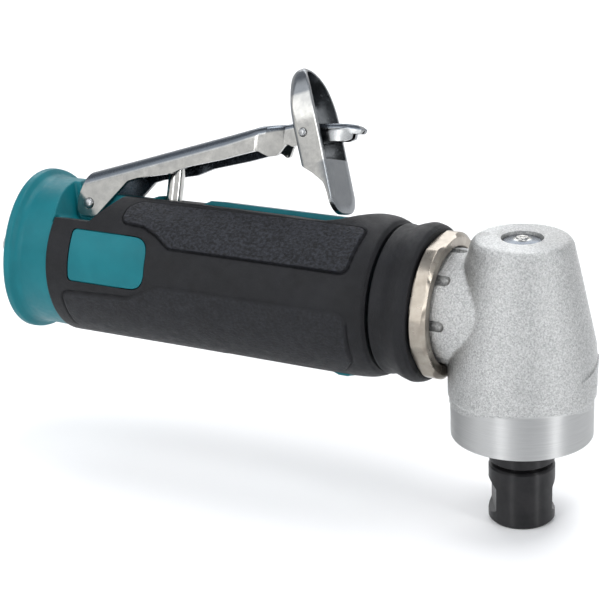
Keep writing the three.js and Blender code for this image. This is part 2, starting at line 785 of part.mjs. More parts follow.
// --- collet and collet nut
let collet = turnZ(
  [
    [3.2, -38.4],
    [4.5, -38.4],
    [4.5, -45.4],
    [5.3, -46.6],
    [5.3, -47.6],
    [4.0, -50.2],
    [4.0, -51.2],
    [3.2, -51.2],
  ],
  40,
);
for (let i = 0; i < 2; i++) {
  const slit = block([-8, -0.3, -53], [8, 0.3, -41]);
  collet = collet.subtract(slit.rotate([0, 0, 90 * i + 15]));
}
piece(head, "collet", collet, "steel");
let colletNut = turnZ(
  [
    [6.25, -37.2],
    [7.6, -37.2],
    [8.0, -37.6],
    [8.0, -51.3],
    [7.4, -51.9],
    [4.4, -51.9],
    [4.4, -50.6],
    [5.7, -47.9],
    [5.7, -45.5],
    [6.25, -45.4],
  ],
  48,
);
const flatCut = prismY([[9, -39.5], [6.75, -42.6], [6.75, -48.2], [9, -51.0]], -9, 9);
for (let i = 0; i < 2; i++) colletNut = colletNut.subtract(flatCut.rotate([0, 0, 30 + 180 * i]));
piece(head, "collet_nut", colletNut, "black");

export default tool;
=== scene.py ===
# Looks of a right-angle air die grinder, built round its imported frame.
# Shapes are drawn in millimetres in the handle's or the head's own frame, then placed in metres.
import json
import math

import bmesh
import bpy
import numpy as np
from mathutils import Matrix, Vector


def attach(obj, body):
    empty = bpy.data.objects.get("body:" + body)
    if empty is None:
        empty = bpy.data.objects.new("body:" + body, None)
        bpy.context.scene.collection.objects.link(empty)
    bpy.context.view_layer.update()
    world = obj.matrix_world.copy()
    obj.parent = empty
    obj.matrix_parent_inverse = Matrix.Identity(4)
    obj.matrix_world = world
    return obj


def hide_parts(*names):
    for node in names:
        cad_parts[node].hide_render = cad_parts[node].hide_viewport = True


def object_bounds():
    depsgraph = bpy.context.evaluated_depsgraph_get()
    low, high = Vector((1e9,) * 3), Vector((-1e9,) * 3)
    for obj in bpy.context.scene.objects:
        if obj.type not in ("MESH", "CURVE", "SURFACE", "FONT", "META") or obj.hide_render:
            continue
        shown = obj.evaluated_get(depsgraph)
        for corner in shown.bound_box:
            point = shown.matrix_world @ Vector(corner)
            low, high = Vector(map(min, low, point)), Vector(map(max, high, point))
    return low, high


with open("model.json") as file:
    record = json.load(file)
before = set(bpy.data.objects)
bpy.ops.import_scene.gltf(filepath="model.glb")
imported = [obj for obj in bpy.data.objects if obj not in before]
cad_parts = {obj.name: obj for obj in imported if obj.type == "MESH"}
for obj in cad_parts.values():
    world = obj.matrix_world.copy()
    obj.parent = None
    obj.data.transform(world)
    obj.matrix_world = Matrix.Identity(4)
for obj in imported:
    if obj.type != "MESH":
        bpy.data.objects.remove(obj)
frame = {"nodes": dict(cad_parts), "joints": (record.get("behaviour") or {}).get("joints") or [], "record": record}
cad_low, cad_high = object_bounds()
scene = bpy.context.scene

# ---------------------------------------------------------------- places from the frame
joints = {joint["name"]: joint for joint in frame["joints"]}
CROSSING = Vector(joints["spindle_spin"]["pos_m"])  # where the spindle axis meets the handle axis
PRESS_AXIS = joints["lever_press"]["axis"]
CLOCKING = math.atan2(-PRESS_AXIS[2], PRESS_AXIS[1])  # lean of the lever side from the spindle plane
MM = 0.001
HEAD = Matrix.Translation(CROSSING) @ Matrix.Scale(MM, 4)
HANDLE = Matrix.Translation(CROSSING) @ Matrix.Rotation(-CLOCKING, 4, "X") @ Matrix.Scale(MM, 4)


def handle_place(point):
    """A point of the row frame in the handle's own frame, in millimetres."""
    return HANDLE.inverted() @ Vector(point)


PIVOT = handle_place(joints["lever_press"]["pos_m"])
LOCK_PIN = handle_place(joints["lock_fold"]["pos_m"])
FLOOR_Z = cad_low.z


# ---------------------------------------------------------------- outlines
def smooth(value):
    """0 to 1 with an easy start and end."""
    value = np.clip(value, 0.0, 1.0)
    return value * value * (3 - 2 * value)


def rounded(outline, radius=0.0, steps=5):
    """The closed outline with its corners rounded; a third value on a point is its own radius."""
    out = []
    count = len(outline)
    for i, point in enumerate(outline):
        corner = Vector(point[:2])
        r = point[2] if len(point) > 2 else radius
        if r <= 0:
            out.append(corner)
            continue
        before = Vector(outline[i - 1][:2]) - corner
        after = Vector(outline[(i + 1) % count][:2]) - corner
        half = before.angle(after) / 2
        reach = min(r / max(math.tan(half), 1e-6), 0.48 * before.length, 0.48 * after.length)
        start = corner + before.normalized() * reach
        end = corner + after.normalized() * reach
        for k in range(steps + 1):
            t = k / steps
            out.append((1 - t) ** 2 * start + 2 * t * (1 - t) * corner + t * t * end)
    return [(p.x, p.y) for p in out]


def arc(centre, radius, start, end, steps):
    """Points on an arc, angles in degrees; radius may be a pair for an ellipse."""
    across, along = radius if isinstance(radius, tuple) else (radius, radius)
    turns = [math.radians(start + (end - start) * k / steps) for k in range(steps + 1)]
    return [(centre[0] + across * math.cos(t), centre[1] + along * math.sin(t)) for t in turns]


def polar(radius, degrees):
    a = math.radians(degrees)
    return radius * math.cos(a), radius * math.sin(a)


def depth_inside(points, outline):
    """How far each point lies inside a closed outline, negative outside."""
    ring = np.array(outline, float)
    ends = np.roll(ring, -1, axis=0)
    nearest = np.full(len(points), 1e9)
    inside = np.zeros(len(points), bool)
    for (ax, ay), (bx, by) in zip(ring, ends):
        edge = np.array([bx - ax, by - ay])
        rel = points - np.array([ax, ay])
        t = np.clip(rel @ edge / max(edge @ edge, 1e-12), 0, 1)
        nearest = np.minimum(nearest, np.hypot(*(rel - t[:, None] * edge).T))
        if ay != by:
            crosses = (points[:, 1] > ay) != (points[:, 1] > by)
            at = ax + (points[:, 1] - ay) * (bx - ax) / (by - ay)
            inside ^= crosses & (points[:, 0] < at)
    return np.where(inside, nearest, -nearest)


# ---------------------------------------------------------------- meshes
def make(name, points, faces):
    """A new object in the scene from points and faces."""
    mesh = bpy.data.meshes.new(name)
    mesh.from_pydata([tuple(p) for p in points], [], faces)
    obj = bpy.data.objects.new(name, mesh)
    scene.collection.objects.link(obj)
    return obj


def tidy(obj, merge=1e-4):
    """Merges doubled points and turns every face outwards."""
    work = bmesh.new()
    work.from_mesh(obj.data)
    bmesh.ops.remove_doubles(work, verts=work.verts, dist=merge)
    bmesh.ops.recalc_face_normals(work, faces=work.faces)
    work.to_mesh(obj.data)
    work.free()
    return obj


def skin(name, rings, looped=False):
    """Rings of equal point count joined in order; the ends are filled or the first meets the last."""
    count = len(rings[0])
    points = [p for ring in rings for p in ring]
    faces = []
    spans = len(rings) if looped else len(rings) - 1
    for s in range(spans):
        low = s * count
        high = ((s + 1) % len(rings)) * count
        for i in range(count):
            j = (i + 1) % count
            faces.append((low + i, low + j, high + j, high + i))
    if not looped:
        faces.append(tuple(reversed(range(count))))
        faces.append(tuple(range(len(points) - count, len(points))))
    return tidy(make(name, points, faces))


SET_ON = {  # two measures across an axis and one along it, as x, y and z
    "X": lambda a, b, along: (along, a, b),
    "Y": lambda a, b, along: (a, along, b),
    "Z": lambda a, b, along: (a, b, along),
}


def turned(name, profile, axis="Z", segments=128):
    """A closed outline of radius and height turned about an axis of the local frame."""
    rings = []
    for k in range(segments):
        a = 2 * math.pi * k / segments
        c, s = math.cos(a), math.sin(a)
        rings.append([SET_ON[axis](r * c, r * s, h) for r, h in profile])
    return skin(name, rings, looped=True)


def prism(name, outline, low, high, axis="Y"):
    """A closed outline pushed along an axis; the outline's pair is the other two axes in order."""
    return skin(name, [[SET_ON[axis](a, b, depth) for a, b in outline] for depth in (low, high)])


def box(low, high):
    """A block between two opposite corners."""
    outline = [(low[0], low[2]), (high[0], low[2]), (high[0], high[2]), (low[0], high[2])]
    return prism("box", outline, low[1], high[1])


def shift(obj, x, y, z):
    obj.data.transform(Matrix.Translation((x, y, z)))
    return obj


def turn(obj, degrees, axis):
    obj.data.transform(Matrix.Rotation(math.radians(degrees), 4, axis))
    return obj


def rod(name, radius, low, high, axis="Z", at=(0, 0, 0), segments=64):
    """A plain cylinder from low to high along an axis, moved by at."""
    outline = [(0, low), (radius, low), (radius, high), (0, high)]
    return shift(turned(name, outline, axis, segments), *at)


def settle(obj):
    """Applies every modifier on an object."""
    bpy.context.view_layer.update()
    graph = bpy.context.evaluated_depsgraph_get()
    made = bpy.data.meshes.new_from_object(obj.evaluated_get(graph))
    obj.modifiers.clear()
    old = obj.data
    obj.data = made
    bpy.data.meshes.remove(old)
    return obj


def combine(obj, other, operation):
    """Changes obj by a Boolean with other, which is used up."""
    modifier = obj.modifiers.new("combine", "BOOLEAN")
    modifier.operation = operation
    modifier.solver = "MANIFOLD"
    modifier.object = other
    settle(obj)
    bpy.data.objects.remove(other)
    return obj


def cut(obj, *others):
    for other in others:
        combine(obj, other, "DIFFERENCE")
    return obj


def join(obj, *others):
    for other in others:
        combine(obj, other, "UNION")
    return obj


def keep(obj, other):
    return combine(obj, other, "INTERSECT")


def soften(obj, voxel, rounds):
    """Skins a solid afresh in small cells and rounds its edges, as a mould or a casting does."""
    remesh = obj.modifiers.new("skin", "REMESH")
    remesh.mode = "VOXEL"
    remesh.voxel_size = voxel
    relax = obj.modifiers.new("relax", "SMOOTH")
    relax.factor = 0.5
    relax.iterations = rounds
    return settle(obj)


def mark(obj, name, share):
    """Stores a mask from 0 to 1 on the points; share takes their x, y and z as arrays."""
    spots = np.zeros(len(obj.data.vertices) * 3, np.float32)
    obj.data.vertices.foreach_get("co", spots)
    mask = obj.data.attributes.get(name) or obj.data.attributes.new(name, "FLOAT", "POINT")
    mask.data.foreach_set("value", share(*spots.reshape(-1, 3).T).astype(np.float32))
    return obj


def place(obj, name, matrix, body, material, nodes=(), sharp=32):
    """Gives a finished piece its name, place, body, slot, material and the nodes it stands for."""
    obj.data.transform(matrix)
    obj.name = name
    obj.data.name = name
    tidy(obj, 1e-8)
    obj.data.polygons.foreach_set("use_smooth", [True] * len(obj.data.polygons))
    obj.data.set_sharp_from_angle(angle=math.radians(sharp))
    obj.data.materials.clear()
    obj.data.materials.append(material)
    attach(obj, body)
    if nodes:
        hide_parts(*nodes)
    return obj


# ---------------------------------------------------------------- materials
class Paint:
    """A node material under construction: a Principled shader with helpers for its inputs."""

    def __init__(self, name, color, roughness, metallic=0.0, **sockets):
        self.material = bpy.data.materials.new(name)
        self.material.use_nodes = True
        self.tree = self.material.node_tree
        self.shader = self.tree.nodes["Principled BSDF"]
        self.set("Base Color", (*color, 1))
        self.set("Roughness", roughness)
        self.set("Metallic", metallic)
        for socket, value in sockets.items():
            self.set(socket.replace("_", " "), value)
        self.where = self.node("ShaderNodeTexCoord").outputs["Object"]
        self.normal = None

    def set(self, socket, value):
        self.shader.inputs[socket].default_value = value

    def node(self, kind, **values):
        made = self.tree.nodes.new(kind)
        for key, value in values.items():
            setattr(made, key, value)
        return made

    def link(self, output, target):
        self.tree.links.new(output, target)

    def scaled(self, size_mm, stretch=(1, 1, 1)):
        """Places on the object in units of size_mm, longer along an axis with stretch above 1."""
        mapping = self.node("ShaderNodeMapping")
        scale = 1 / (size_mm * MM)
        mapping.inputs["Scale"].default_value = [scale / s for s in stretch]
        self.link(self.where, mapping.inputs["Vector"])
        return mapping.outputs[0]

    def noise(self, size_mm, detail=4.0, rough=0.5, stretch=(1, 1, 1)):
        """Noise whose features are about size_mm across."""
        spots = self.scaled(size_mm, stretch)
        texture = self.node("ShaderNodeTexNoise")
        texture.inputs["Scale"].default_value = 1.0
        texture.inputs["Detail"].default_value = detail
        texture.inputs["Roughness"].default_value = rough
        self.link(spots, texture.inputs["Vector"])
        return texture.outputs[0]

    def cells(self, size_mm):
        """A level of its own for each small cell about size_mm across."""
        spots = self.scaled(size_mm)
        texture = self.node("ShaderNodeTexVoronoi")
        texture.inputs["Scale"].default_value = 1.0
        self.link(spots, texture.inputs["Vector"])
        return texture.outputs["Color"]

    def remap(self, source, low, high, to_low, to_high):
        """The span from low to high of a level, stretched to another span and held at its ends."""
        ramp = self.node("ShaderNodeMapRange")
        limits = {"From Min": low, "From Max": high, "To Min": to_low, "To Max": to_high}
        for socket, value in limits.items():
            ramp.inputs[socket].default_value = value
        self.link(source, ramp.inputs["Value"])
        return ramp.outputs[0]

    def attribute(self, name):
        return self.node("ShaderNodeAttribute", attribute_name=name).outputs["Fac"]

    def math(self, operation, a, b):
        made = self.node("ShaderNodeMath", operation=operation)
        for socket, value in zip(made.inputs, (a, b)):
            if isinstance(value, (int, float)):
                socket.default_value = value
            else:
                self.link(value, socket)
        return made.outputs[0]

    def mix_color(self, factor, first, second):
        made = self.node("ShaderNodeMix", data_type="RGBA")
        self.link(factor, made.inputs["Factor"])
        for key, value in (("A", first), ("B", second)):
            socket = next(s for s in made.inputs if s.name == key and s.type == "RGBA")
            if isinstance(value, tuple):
                socket.default_value = (*value, 1)
            else:
                self.link(value, socket)
        return next(s for s in made.outputs if s.type == "RGBA")

    def colored(self, output):
        self.link(output, self.shader.inputs["Base Color"])

    def rough(self, output):
        self.link(output, self.shader.inputs["Roughness"])

    def bump(self, height, depth_mm, strength=1.0):
        made = self.node("ShaderNodeBump")
        made.inputs["Strength"].default_value = strength
        made.inputs["Distance"].default_value = depth_mm * MM
        self.link(height, made.inputs["Height"])
        if self.normal is not None:
            self.link(self.normal, made.inputs["Normal"])
        self.normal = made.outputs[0]
        self.link(self.normal, self.shader.inputs["Normal"])
        return self

    def eased(self, radius_mm):
        """Rounds the shading of hard edges over a small radius."""
        made = self.node("ShaderNodeBevel", samples=4)
        made.inputs["Radius"].default_value = radius_mm * MM
        self.normal = made.outputs[0]
        self.link(self.normal, self.shader.inputs["Normal"])
        return self


def teal_composite():
    paint = Paint("teal_composite", (0.003, 0.125, 0.152), 0.48, Specular_IOR_Level=0.2).eased(0.2)
    cloud = paint.remap(paint.noise(9, 3), 0.35, 0.65, 0, 1)
    paint.colored(paint.mix_color(cloud, (0.002, 0.114, 0.139), (0.004, 0.138, 0.167)))
    paint.rough(paint.remap(paint.noise(1.4, 4), 0.3, 0.7, 0.36, 0.50))
    return paint.bump(paint.noise(0.28, 2, 0.6), 0.05, 0.6).material


def grip_rubber():
    paint = Paint("grip_rubber", (0.010, 0.0105, 0.0125), 0.6, Specular_IOR_Level=0.22).eased(0.12)
    panel = paint.attribute("panel")
    cloud = paint.remap(paint.noise(7, 4), 0.35, 0.65, 0, 1)
    plain = paint.mix_color(cloud, (0.0055, 0.0057, 0.0070), (0.0085, 0.0090, 0.0110))
    pebble = paint.noise(0.62, 3, 0.62, (1.3, 1, 1))
    speck = paint.remap(pebble, 0.38, 0.64, 0, 1)
    grained = paint.mix_color(speck, (0.0035, 0.0037, 0.0048), (0.024, 0.026, 0.033))
    paint.colored(paint.mix_color(panel, plain, grained))
    fine = paint.noise(0.25, 2, 0.6)
    height = paint.math("ADD", paint.math("MULTIPLY", pebble, panel), paint.math("MULTIPLY", fine, 0.3))
    paint.rough(paint.remap(paint.noise(2.2, 4), 0.3, 0.7, 0.46, 0.60))
    return paint.bump(height, 0.42, 0.95).material


def nickel_plate():
    paint = Paint("nickel_plate", (0.34, 0.305, 0.26), 0.3, 1.0).eased(0.12)
    stain = paint.remap(paint.noise(4.5, 5, 0.6), 0.35, 0.7, 0, 1)
    paint.colored(paint.mix_color(stain, (0.27, 0.24, 0.205), (0.40, 0.365, 0.315)))
    paint.rough(paint.remap(paint.noise(1.8, 4), 0.3, 0.7, 0.26, 0.36))
    return paint.bump(paint.noise(0.5, 3), 0.012, 0.5).material


def cast_aluminium():
    """Bead-blasted casting where the mask is 1, lathe-turned where it is 0."""
    paint = Paint("cast_aluminium", (0.5, 0.505, 0.51), 0.42, 0.95, Anisotropic=0.95).eased(0.15)
    paint.set("Anisotropic Rotation", 0.25)
    cast = paint.attribute("cast")
    sparkle = paint.remap(paint.cells(0.24), 0, 1, -0.45, 0.45)
    grain = paint.noise(0.46, 3, 0.65)
    level = paint.math("ADD", sparkle, paint.remap(grain, 0.3, 0.7, 0.0, 1.0))
    mottled = paint.mix_color(level, (0.34, 0.345, 0.345), (0.66, 0.665, 0.66))
    streak = paint.remap(paint.noise(0.14, 2, 0.5, (60, 60, 1)), 0.3, 0.7, 0, 1)
    turned_tone = paint.mix_color(streak, (0.50, 0.505, 0.505), (0.57, 0.575, 0.575))
    paint.colored(paint.mix_color(cast, turned_tone, mottled))
    grainy = paint.math("MULTIPLY", paint.remap(grain, 0.3, 0.7, 0.36, 0.56), cast)
    bare = paint.math("SUBTRACT", 1.0, cast)
    paint.rough(paint.math("ADD", grainy, paint.math("MULTIPLY", bare, 0.55)))
    height = paint.math("MULTIPLY", paint.math("ADD", grain, paint.math("MULTIPLY", sparkle, 0.35)), cast)
    height = paint.math("ADD", height, paint.math("MULTIPLY", paint.math("MULTIPLY", streak, bare), 0.03))
    return paint.bump(height, 0.20, 1.0).material


def bright_plate():
    """Plated pressings: bright flat outsides; painted shade and reflection, dark grey-blue, where the mask is 1.
    """
    paint = Paint("bright_plate", (0.60, 0.61, 0.60), 0.16, 1.0).eased(0.12)
    painted_shade = paint.attribute("painted_shade")
    smudge = paint.remap(paint.noise(3.2, 5, 0.62), 0.3, 0.75, 0, 1)
    outer = paint.mix_color(smudge, (0.38, 0.38, 0.37), (0.55, 0.545, 0.52))
    # painted shade in the hollows and painted reflection on the bends, in dark grey-blue
    paint.colored(paint.mix_color(painted_shade, outer, (0.095, 0.11, 0.13)))
    polish = paint.remap(paint.noise(1.1, 5, 0.65), 0.3, 0.72, 0.10, 0.22)
    paint.rough(paint.math("ADD", polish, paint.math("MULTIPLY", painted_shade, 0.1)))
    return paint.bump(paint.noise(2.4, 3, 0.5), 0.03, 0.4).material


def black_oxide():
    paint = Paint("black_oxide", (0.016, 0.016, 0.018), 0.42, 0.3, Anisotropic=0.95).eased(0.12)
    paint.set("Anisotropic Rotation", 0.25)
    cloud = paint.remap(paint.noise(3.0, 5, 0.6), 0.35, 0.65, 0, 1)
    paint.colored(paint.mix_color(cloud, (0.005, 0.005, 0.006), (0.012, 0.0115, 0.013)))
    paint.rough(paint.remap(paint.noise(0.8, 4), 0.3, 0.7, 0.36, 0.44))
    return paint.bump(paint.noise(0.16, 2, 0.5, (30, 30, 1)), 0.004, 0.5).material


def metal(name, color, roughness, size=0.6):
    """A plain metal, darker where the painted shade mask is 1."""
    paint = Paint(name, color, roughness, 1.0).eased(0.1)
    tone = paint.remap(paint.noise(2.0, 4), 0.3, 0.7, 0, 1)
    dark = tuple(0.82 * c for c in color)
    light = tuple(min(1.0, 1.1 * c) for c in color)
    # painted shade colour, three tenths of the metal's own
    painted_shade_color = tuple(0.3 * c for c in color)
    paint.colored(paint.mix_color(paint.attribute("painted_shade"), paint.mix_color(tone, dark, light), painted_shade_color))
    paint.rough(paint.remap(paint.noise(size, 4), 0.3, 0.7, 0.8 * roughness, 1.25 * roughness))
    return paint.bump(paint.noise(size, 3), 0.01, 0.5).material


def matt(name, color, roughness, size, depth):
    """A dull material without metal, grained at one size in millimetres."""
    paint = Paint(name, color, roughness)
    tone = paint.remap(paint.noise(size * 4, 5, 0.65), 0.3, 0.7, 0, 1)
    dark = tuple(0.7 * c for c in color)
    light = tuple(min(1.0, 1.25 * c) for c in color)
    paint.colored(paint.mix_color(tone, dark, light))
    return paint.bump(paint.noise(size, 4, 0.7), depth, 0.8).material


def floor_paint():
    paint = Paint("floor_paint", (0.93, 0.93, 0.93), 0.75, 0.0, Specular_IOR_Level=0.1)
    tone = paint.remap(paint.noise(60, 3), 0.3, 0.7, 0, 1)
    paint.colored(paint.mix_color(tone, (0.925, 0.925, 0.925), (0.935, 0.935, 0.935)))
    return paint.material


MATERIALS = {
    "teal_composite": teal_composite(),
    "grip_rubber": grip_rubber(),
    "nickel_plate": nickel_plate(),
    "cast_aluminium": cast_aluminium(),
    "bright_plate": bright_plate(),
    "black_oxide": black_oxide(),
    "plated_steel": metal("plated_steel", (0.44, 0.44, 0.43), 0.26),
    "steel": metal("steel", (0.52, 0.53, 0.54), 0.32),
    "spring_steel": metal("spring_steel", (0.42, 0.43, 0.44), 0.28, 0.3),
    "bearing_steel": metal("bearing_steel", (0.66, 0.67, 0.68), 0.15),
    "brass": metal("brass", (0.68, 0.50, 0.22), 0.3),
    "felt": matt("felt", (0.5, 0.46, 0.38), 0.95, 0.5, 0.2),
    "seal_rubber": matt("seal_rubber", (0.02, 0.02, 0.02), 0.6, 0.4, 0.05),
    "phenolic": matt("phenolic", (0.2, 0.09, 0.04), 0.5, 0.3, 0.03),
}
SLOT_OF = {part["node"]: part["material_slot"] for part in frame["record"]["subparts"]}


def finished(obj, name, matrix, body="tool_body", nodes=None, slot=None, sharp=32):
    """place() for a piece that stands for one node of the same name, unless told otherwise."""
    nodes = (name,) if nodes is None else nodes
    slot = slot or SLOT_OF[nodes[0]]
    return place(obj, name, matrix, body, MATERIALS[slot], nodes, sharp)


# Nodes that stay as they are packed, most of them inside, get their slot's material.
for node, obj in frame["nodes"].items():
    obj.data.materials.clear()
    obj.data.materials.append(MATERIALS[SLOT_OF[node]])


# ================================================================ HANDLE
REAR = -136.2  # rear face of the housing
SEAT_END = -121.6  # inner end of the inlet bushing's seat
COLLAR_END = -122.4  # where the bare collar meets the rubber grip
GRIP_FRONT = -31.7
CORE_R = 15.0
FLAT_TOP = 16.6  # height of the flattened top
EAR_FLOOR = 9.2  # floor of the pockets that the lever's ears hang in
BOSS_HALF = 5.7
RIM_WAVE = 2.0  # how far the rim's near and far sides lie in front of its top and bottom
STEM_X = -97.7
STEM_ROOM = 3.3  # radius of the hole round the valve stem's guide
WAY_RADIUS = 11.2  # the exhaust ways stand in a circle of this radius


def pocket_cutters(floor, rear, front, radius):
    """The two ear pockets, one each side of the boss, with rounded floors."""
    outline = rounded([
        (rear - 5.2, 26), (rear, floor, radius), (front, floor, 1.2), (front + 8.4, floor + 10.4, 3),
        (front + 9.0, 26),
    ])
    return [prism("pocket", outline, *span) for span in ((-30, -BOSS_HALF), (BOSS_HALF, 30))]


def motor_housing():
    profile = rounded([
        (10.2, REAR), (20.4, REAR, 0.4), (21.15, REAR + 0.8, 0.5), (21.05, REAR + 2.3, 0.4),
        (19.7, REAR + 3.4, 0.8), (19.2, REAR + 4.6, 1.5), (19.45, COLLAR_END + 1.0), (19.45, -100.0),
        (9.0, -100.0), (9.0, SEAT_END - 5), (10.2, SEAT_END - 5.6),
    ])
    shell = turned("motor_housing", profile, "X", 160)
    below = box((-128, -30, -24), (-90, 30, EAR_FLOOR - 1.6))
    collar = box((-150, -40, -30), (COLLAR_END, 40, 30))
    core = rod("core", 17.5, -125, -99.0, "X", segments=96)
    keep(shell, join(collar, below, core))
    boss_high = FLAT_TOP - 0.2
    boss_top = rounded([(-127, 8), (-102.4, 8), (-102.4, boss_high, 1), (-127, boss_high, 1)])
    join(shell, prism("boss", boss_top, -BOSS_HALF, BOSS_HALF))
    cut(shell, *pocket_cutters(EAR_FLOOR - 0.2, -122.3, -111.2, 1.8))
    over = rounded([(-122.2, boss_high, 2), (-101, boss_high), (-101, 26), (-127.4, 26)])
    cut(shell, prism("over", over, -30, 30))
    muffle = [(10.8, REAR - 1), (16.8, REAR - 1), (16.8, REAR + 10), (10.8, REAR + 10)]
    cut(shell, turned("muffle", muffle, "X"))
    soften(shell, 0.25, 3)
    for vertex in shell.data.vertices:  # the rim waves: forward at the sides, back above and below
        x, y, z = vertex.co
        out = math.hypot(y, z)
        wave = RIM_WAVE * (y * y / max(out * out, 1) - 0.3)
        vertex.co.x += wave * float(smooth((-126 - x) / 6) * smooth((out - 17.0) / 2.5))
    cut(shell, rod("inlet", 9.2, REAR - 2, -121, "X"))
    cut(shell, rod("pin_hole", 1.65, -8, 8, "Y", (PIVOT.x, 0, PIVOT.z)))
    for off_top in range(112, 249, 34):
        z, y = polar(WAY_RADIUS, off_top)
        cut(shell, rod("exhaust_way", 1.9, REAR + 9, -98, "X", (0, y, z), 24))
    return finished(shell, "motor_housing", HANDLE, sharp=40)


def core_and_rails():
    """The moulded core under the rubber with the two ribs that show through it."""
    tube = [(13, -99.0), (CORE_R, -99.0), (CORE_R, GRIP_FRONT), (13, GRIP_FRONT)]
    core = turned("core", tube, "X", 96)
    top = rounded(
        [(-87.4, 13), (-87.4, 16.4), (-84.6, 17.8, 1), (-47.2, 17.8, 1), (-46, 16.6, 0.6), (-46, 13)]
    )
    low = rounded([
        (-76, -13), (-46, -13), (-40.6, -14), (-40.6, -20.3, 0.8), (-43.6, -20.3, 1), (-46, -19.5, 2),
        (-74, -19.3, 2), (-76, -17),
    ])
    join(core, prism("top", top, -3.6, 3.6), prism("low", low, -4, 4))
    cut(core, rod("stem_hole", STEM_ROOM, 8, 26, "Z", (STEM_X, 0, 0)))
    return finished(core, "housing_core_ribs", HANDLE, nodes=(), slot="teal_composite")


# The grip is a grid over x and the angle from the top, with raised panels on both sides.
# Stations along it: x, radius at the sides, height of the flattened top.
GRIP_STATIONS = (
    (-122.1, 20.0, 20.0), (-117, 20.0, 18.9), (-112, 20.0, 17.3), (-106, 20.0, 16.55),
    (-88, 20.0, 16.7), (-60, 20.15, 16.7), (-49, 20.2, 16.75), (-45.5, 20.2, 17.5),
    (-41.3, 20.15, 19.1), (-37.9, 20.0, 19.9), (-35.2, 19.7, 19.7), (-33.3, 19.1, 19.1),
    (-32.2, 18.7, 18.7),
)
UPPER_PROUD, UPPER_GROOVE = 0.42, 0.45  # how far the upper panel stands out, and its groove's depth
LOWER_PROUD, LOWER_GROOVE = 0.30, 0.36


def curve_through(xs, ys, at):
    """A smooth curve through points, with slopes from their neighbours."""
    xs, ys = np.array(xs, float), np.array(ys, float)
    secant = np.diff(ys) / np.diff(xs)
    slope = np.concatenate([[secant[0]], (secant[:-1] + secant[1:]) / 2, [secant[-1]]])
    flat = np.concatenate([[False], secant[:-1] * secant[1:] <= 0, [False]])
    slope[flat] = 0
    i = np.clip(np.searchsorted(xs, at) - 1, 0, len(xs) - 2)
    h = xs[i + 1] - xs[i]
    t = np.clip((at - xs[i]) / h, 0, 1)
    return (
        (2 * t**3 - 3 * t**2 + 1) * ys[i]
        + (t**3 - 2 * t**2 + t) * h * slope[i]
        + (-2 * t**3 + 3 * t**2) * ys[i + 1]
        + (t**3 - t**2) * h * slope[i + 1]
    )


def grip_radius(x, off_top):
    """Radius of the sleeve without its panels; off_top is the angle from the top in radians."""
    xs, sides, tops = zip(*GRIP_STATIONS)
    side = curve_through(xs, sides, x)
    top = curve_through(xs, tops, x)
    flat = top / np.maximum(np.cos(off_top), 0.2)
    softness = 0.55
    share = np.clip(0.5 + 0.5 * (side - flat) / softness, 0, 1)
    return flat * share + side * (1 - share) - softness * share * (1 - share)


SPREAD = 20.0 * math.pi / 180  # arc length of a degree on the grip


def on_grip(outline, radius):
    """An outline of x and degrees from the top as lengths on the unrolled surface, rounded."""
    return rounded([(x, a * SPREAD, *rest) for x, a, *rest in outline], radius, 8)


UPPER_PANEL = on_grip(
    [
        (-99.0, 38.5, 4), (-36.2, 36.6, 2.4), (-37.4, 74.9, 2.4), (-86.4, 74.7, 3.0), (-90.6, 66.5, 5),
        (-95.0, 61.0, 3.5), (-102.2, 59.5, 3.4), (-102.0, 46.0, 3.4),
    ],
    2.0,
)
LOWER_PANEL = on_grip(
    [
        (-117.6, 117.2, 2.5), (-97.0, 114.6, 6), (-89.0, 102.4, 8), (-36.4, 101.8, 3), (-36.4, 142, 4),
        (-40, 157, 4), (-117.6, 157, 4),
    ],
    2.5,
)


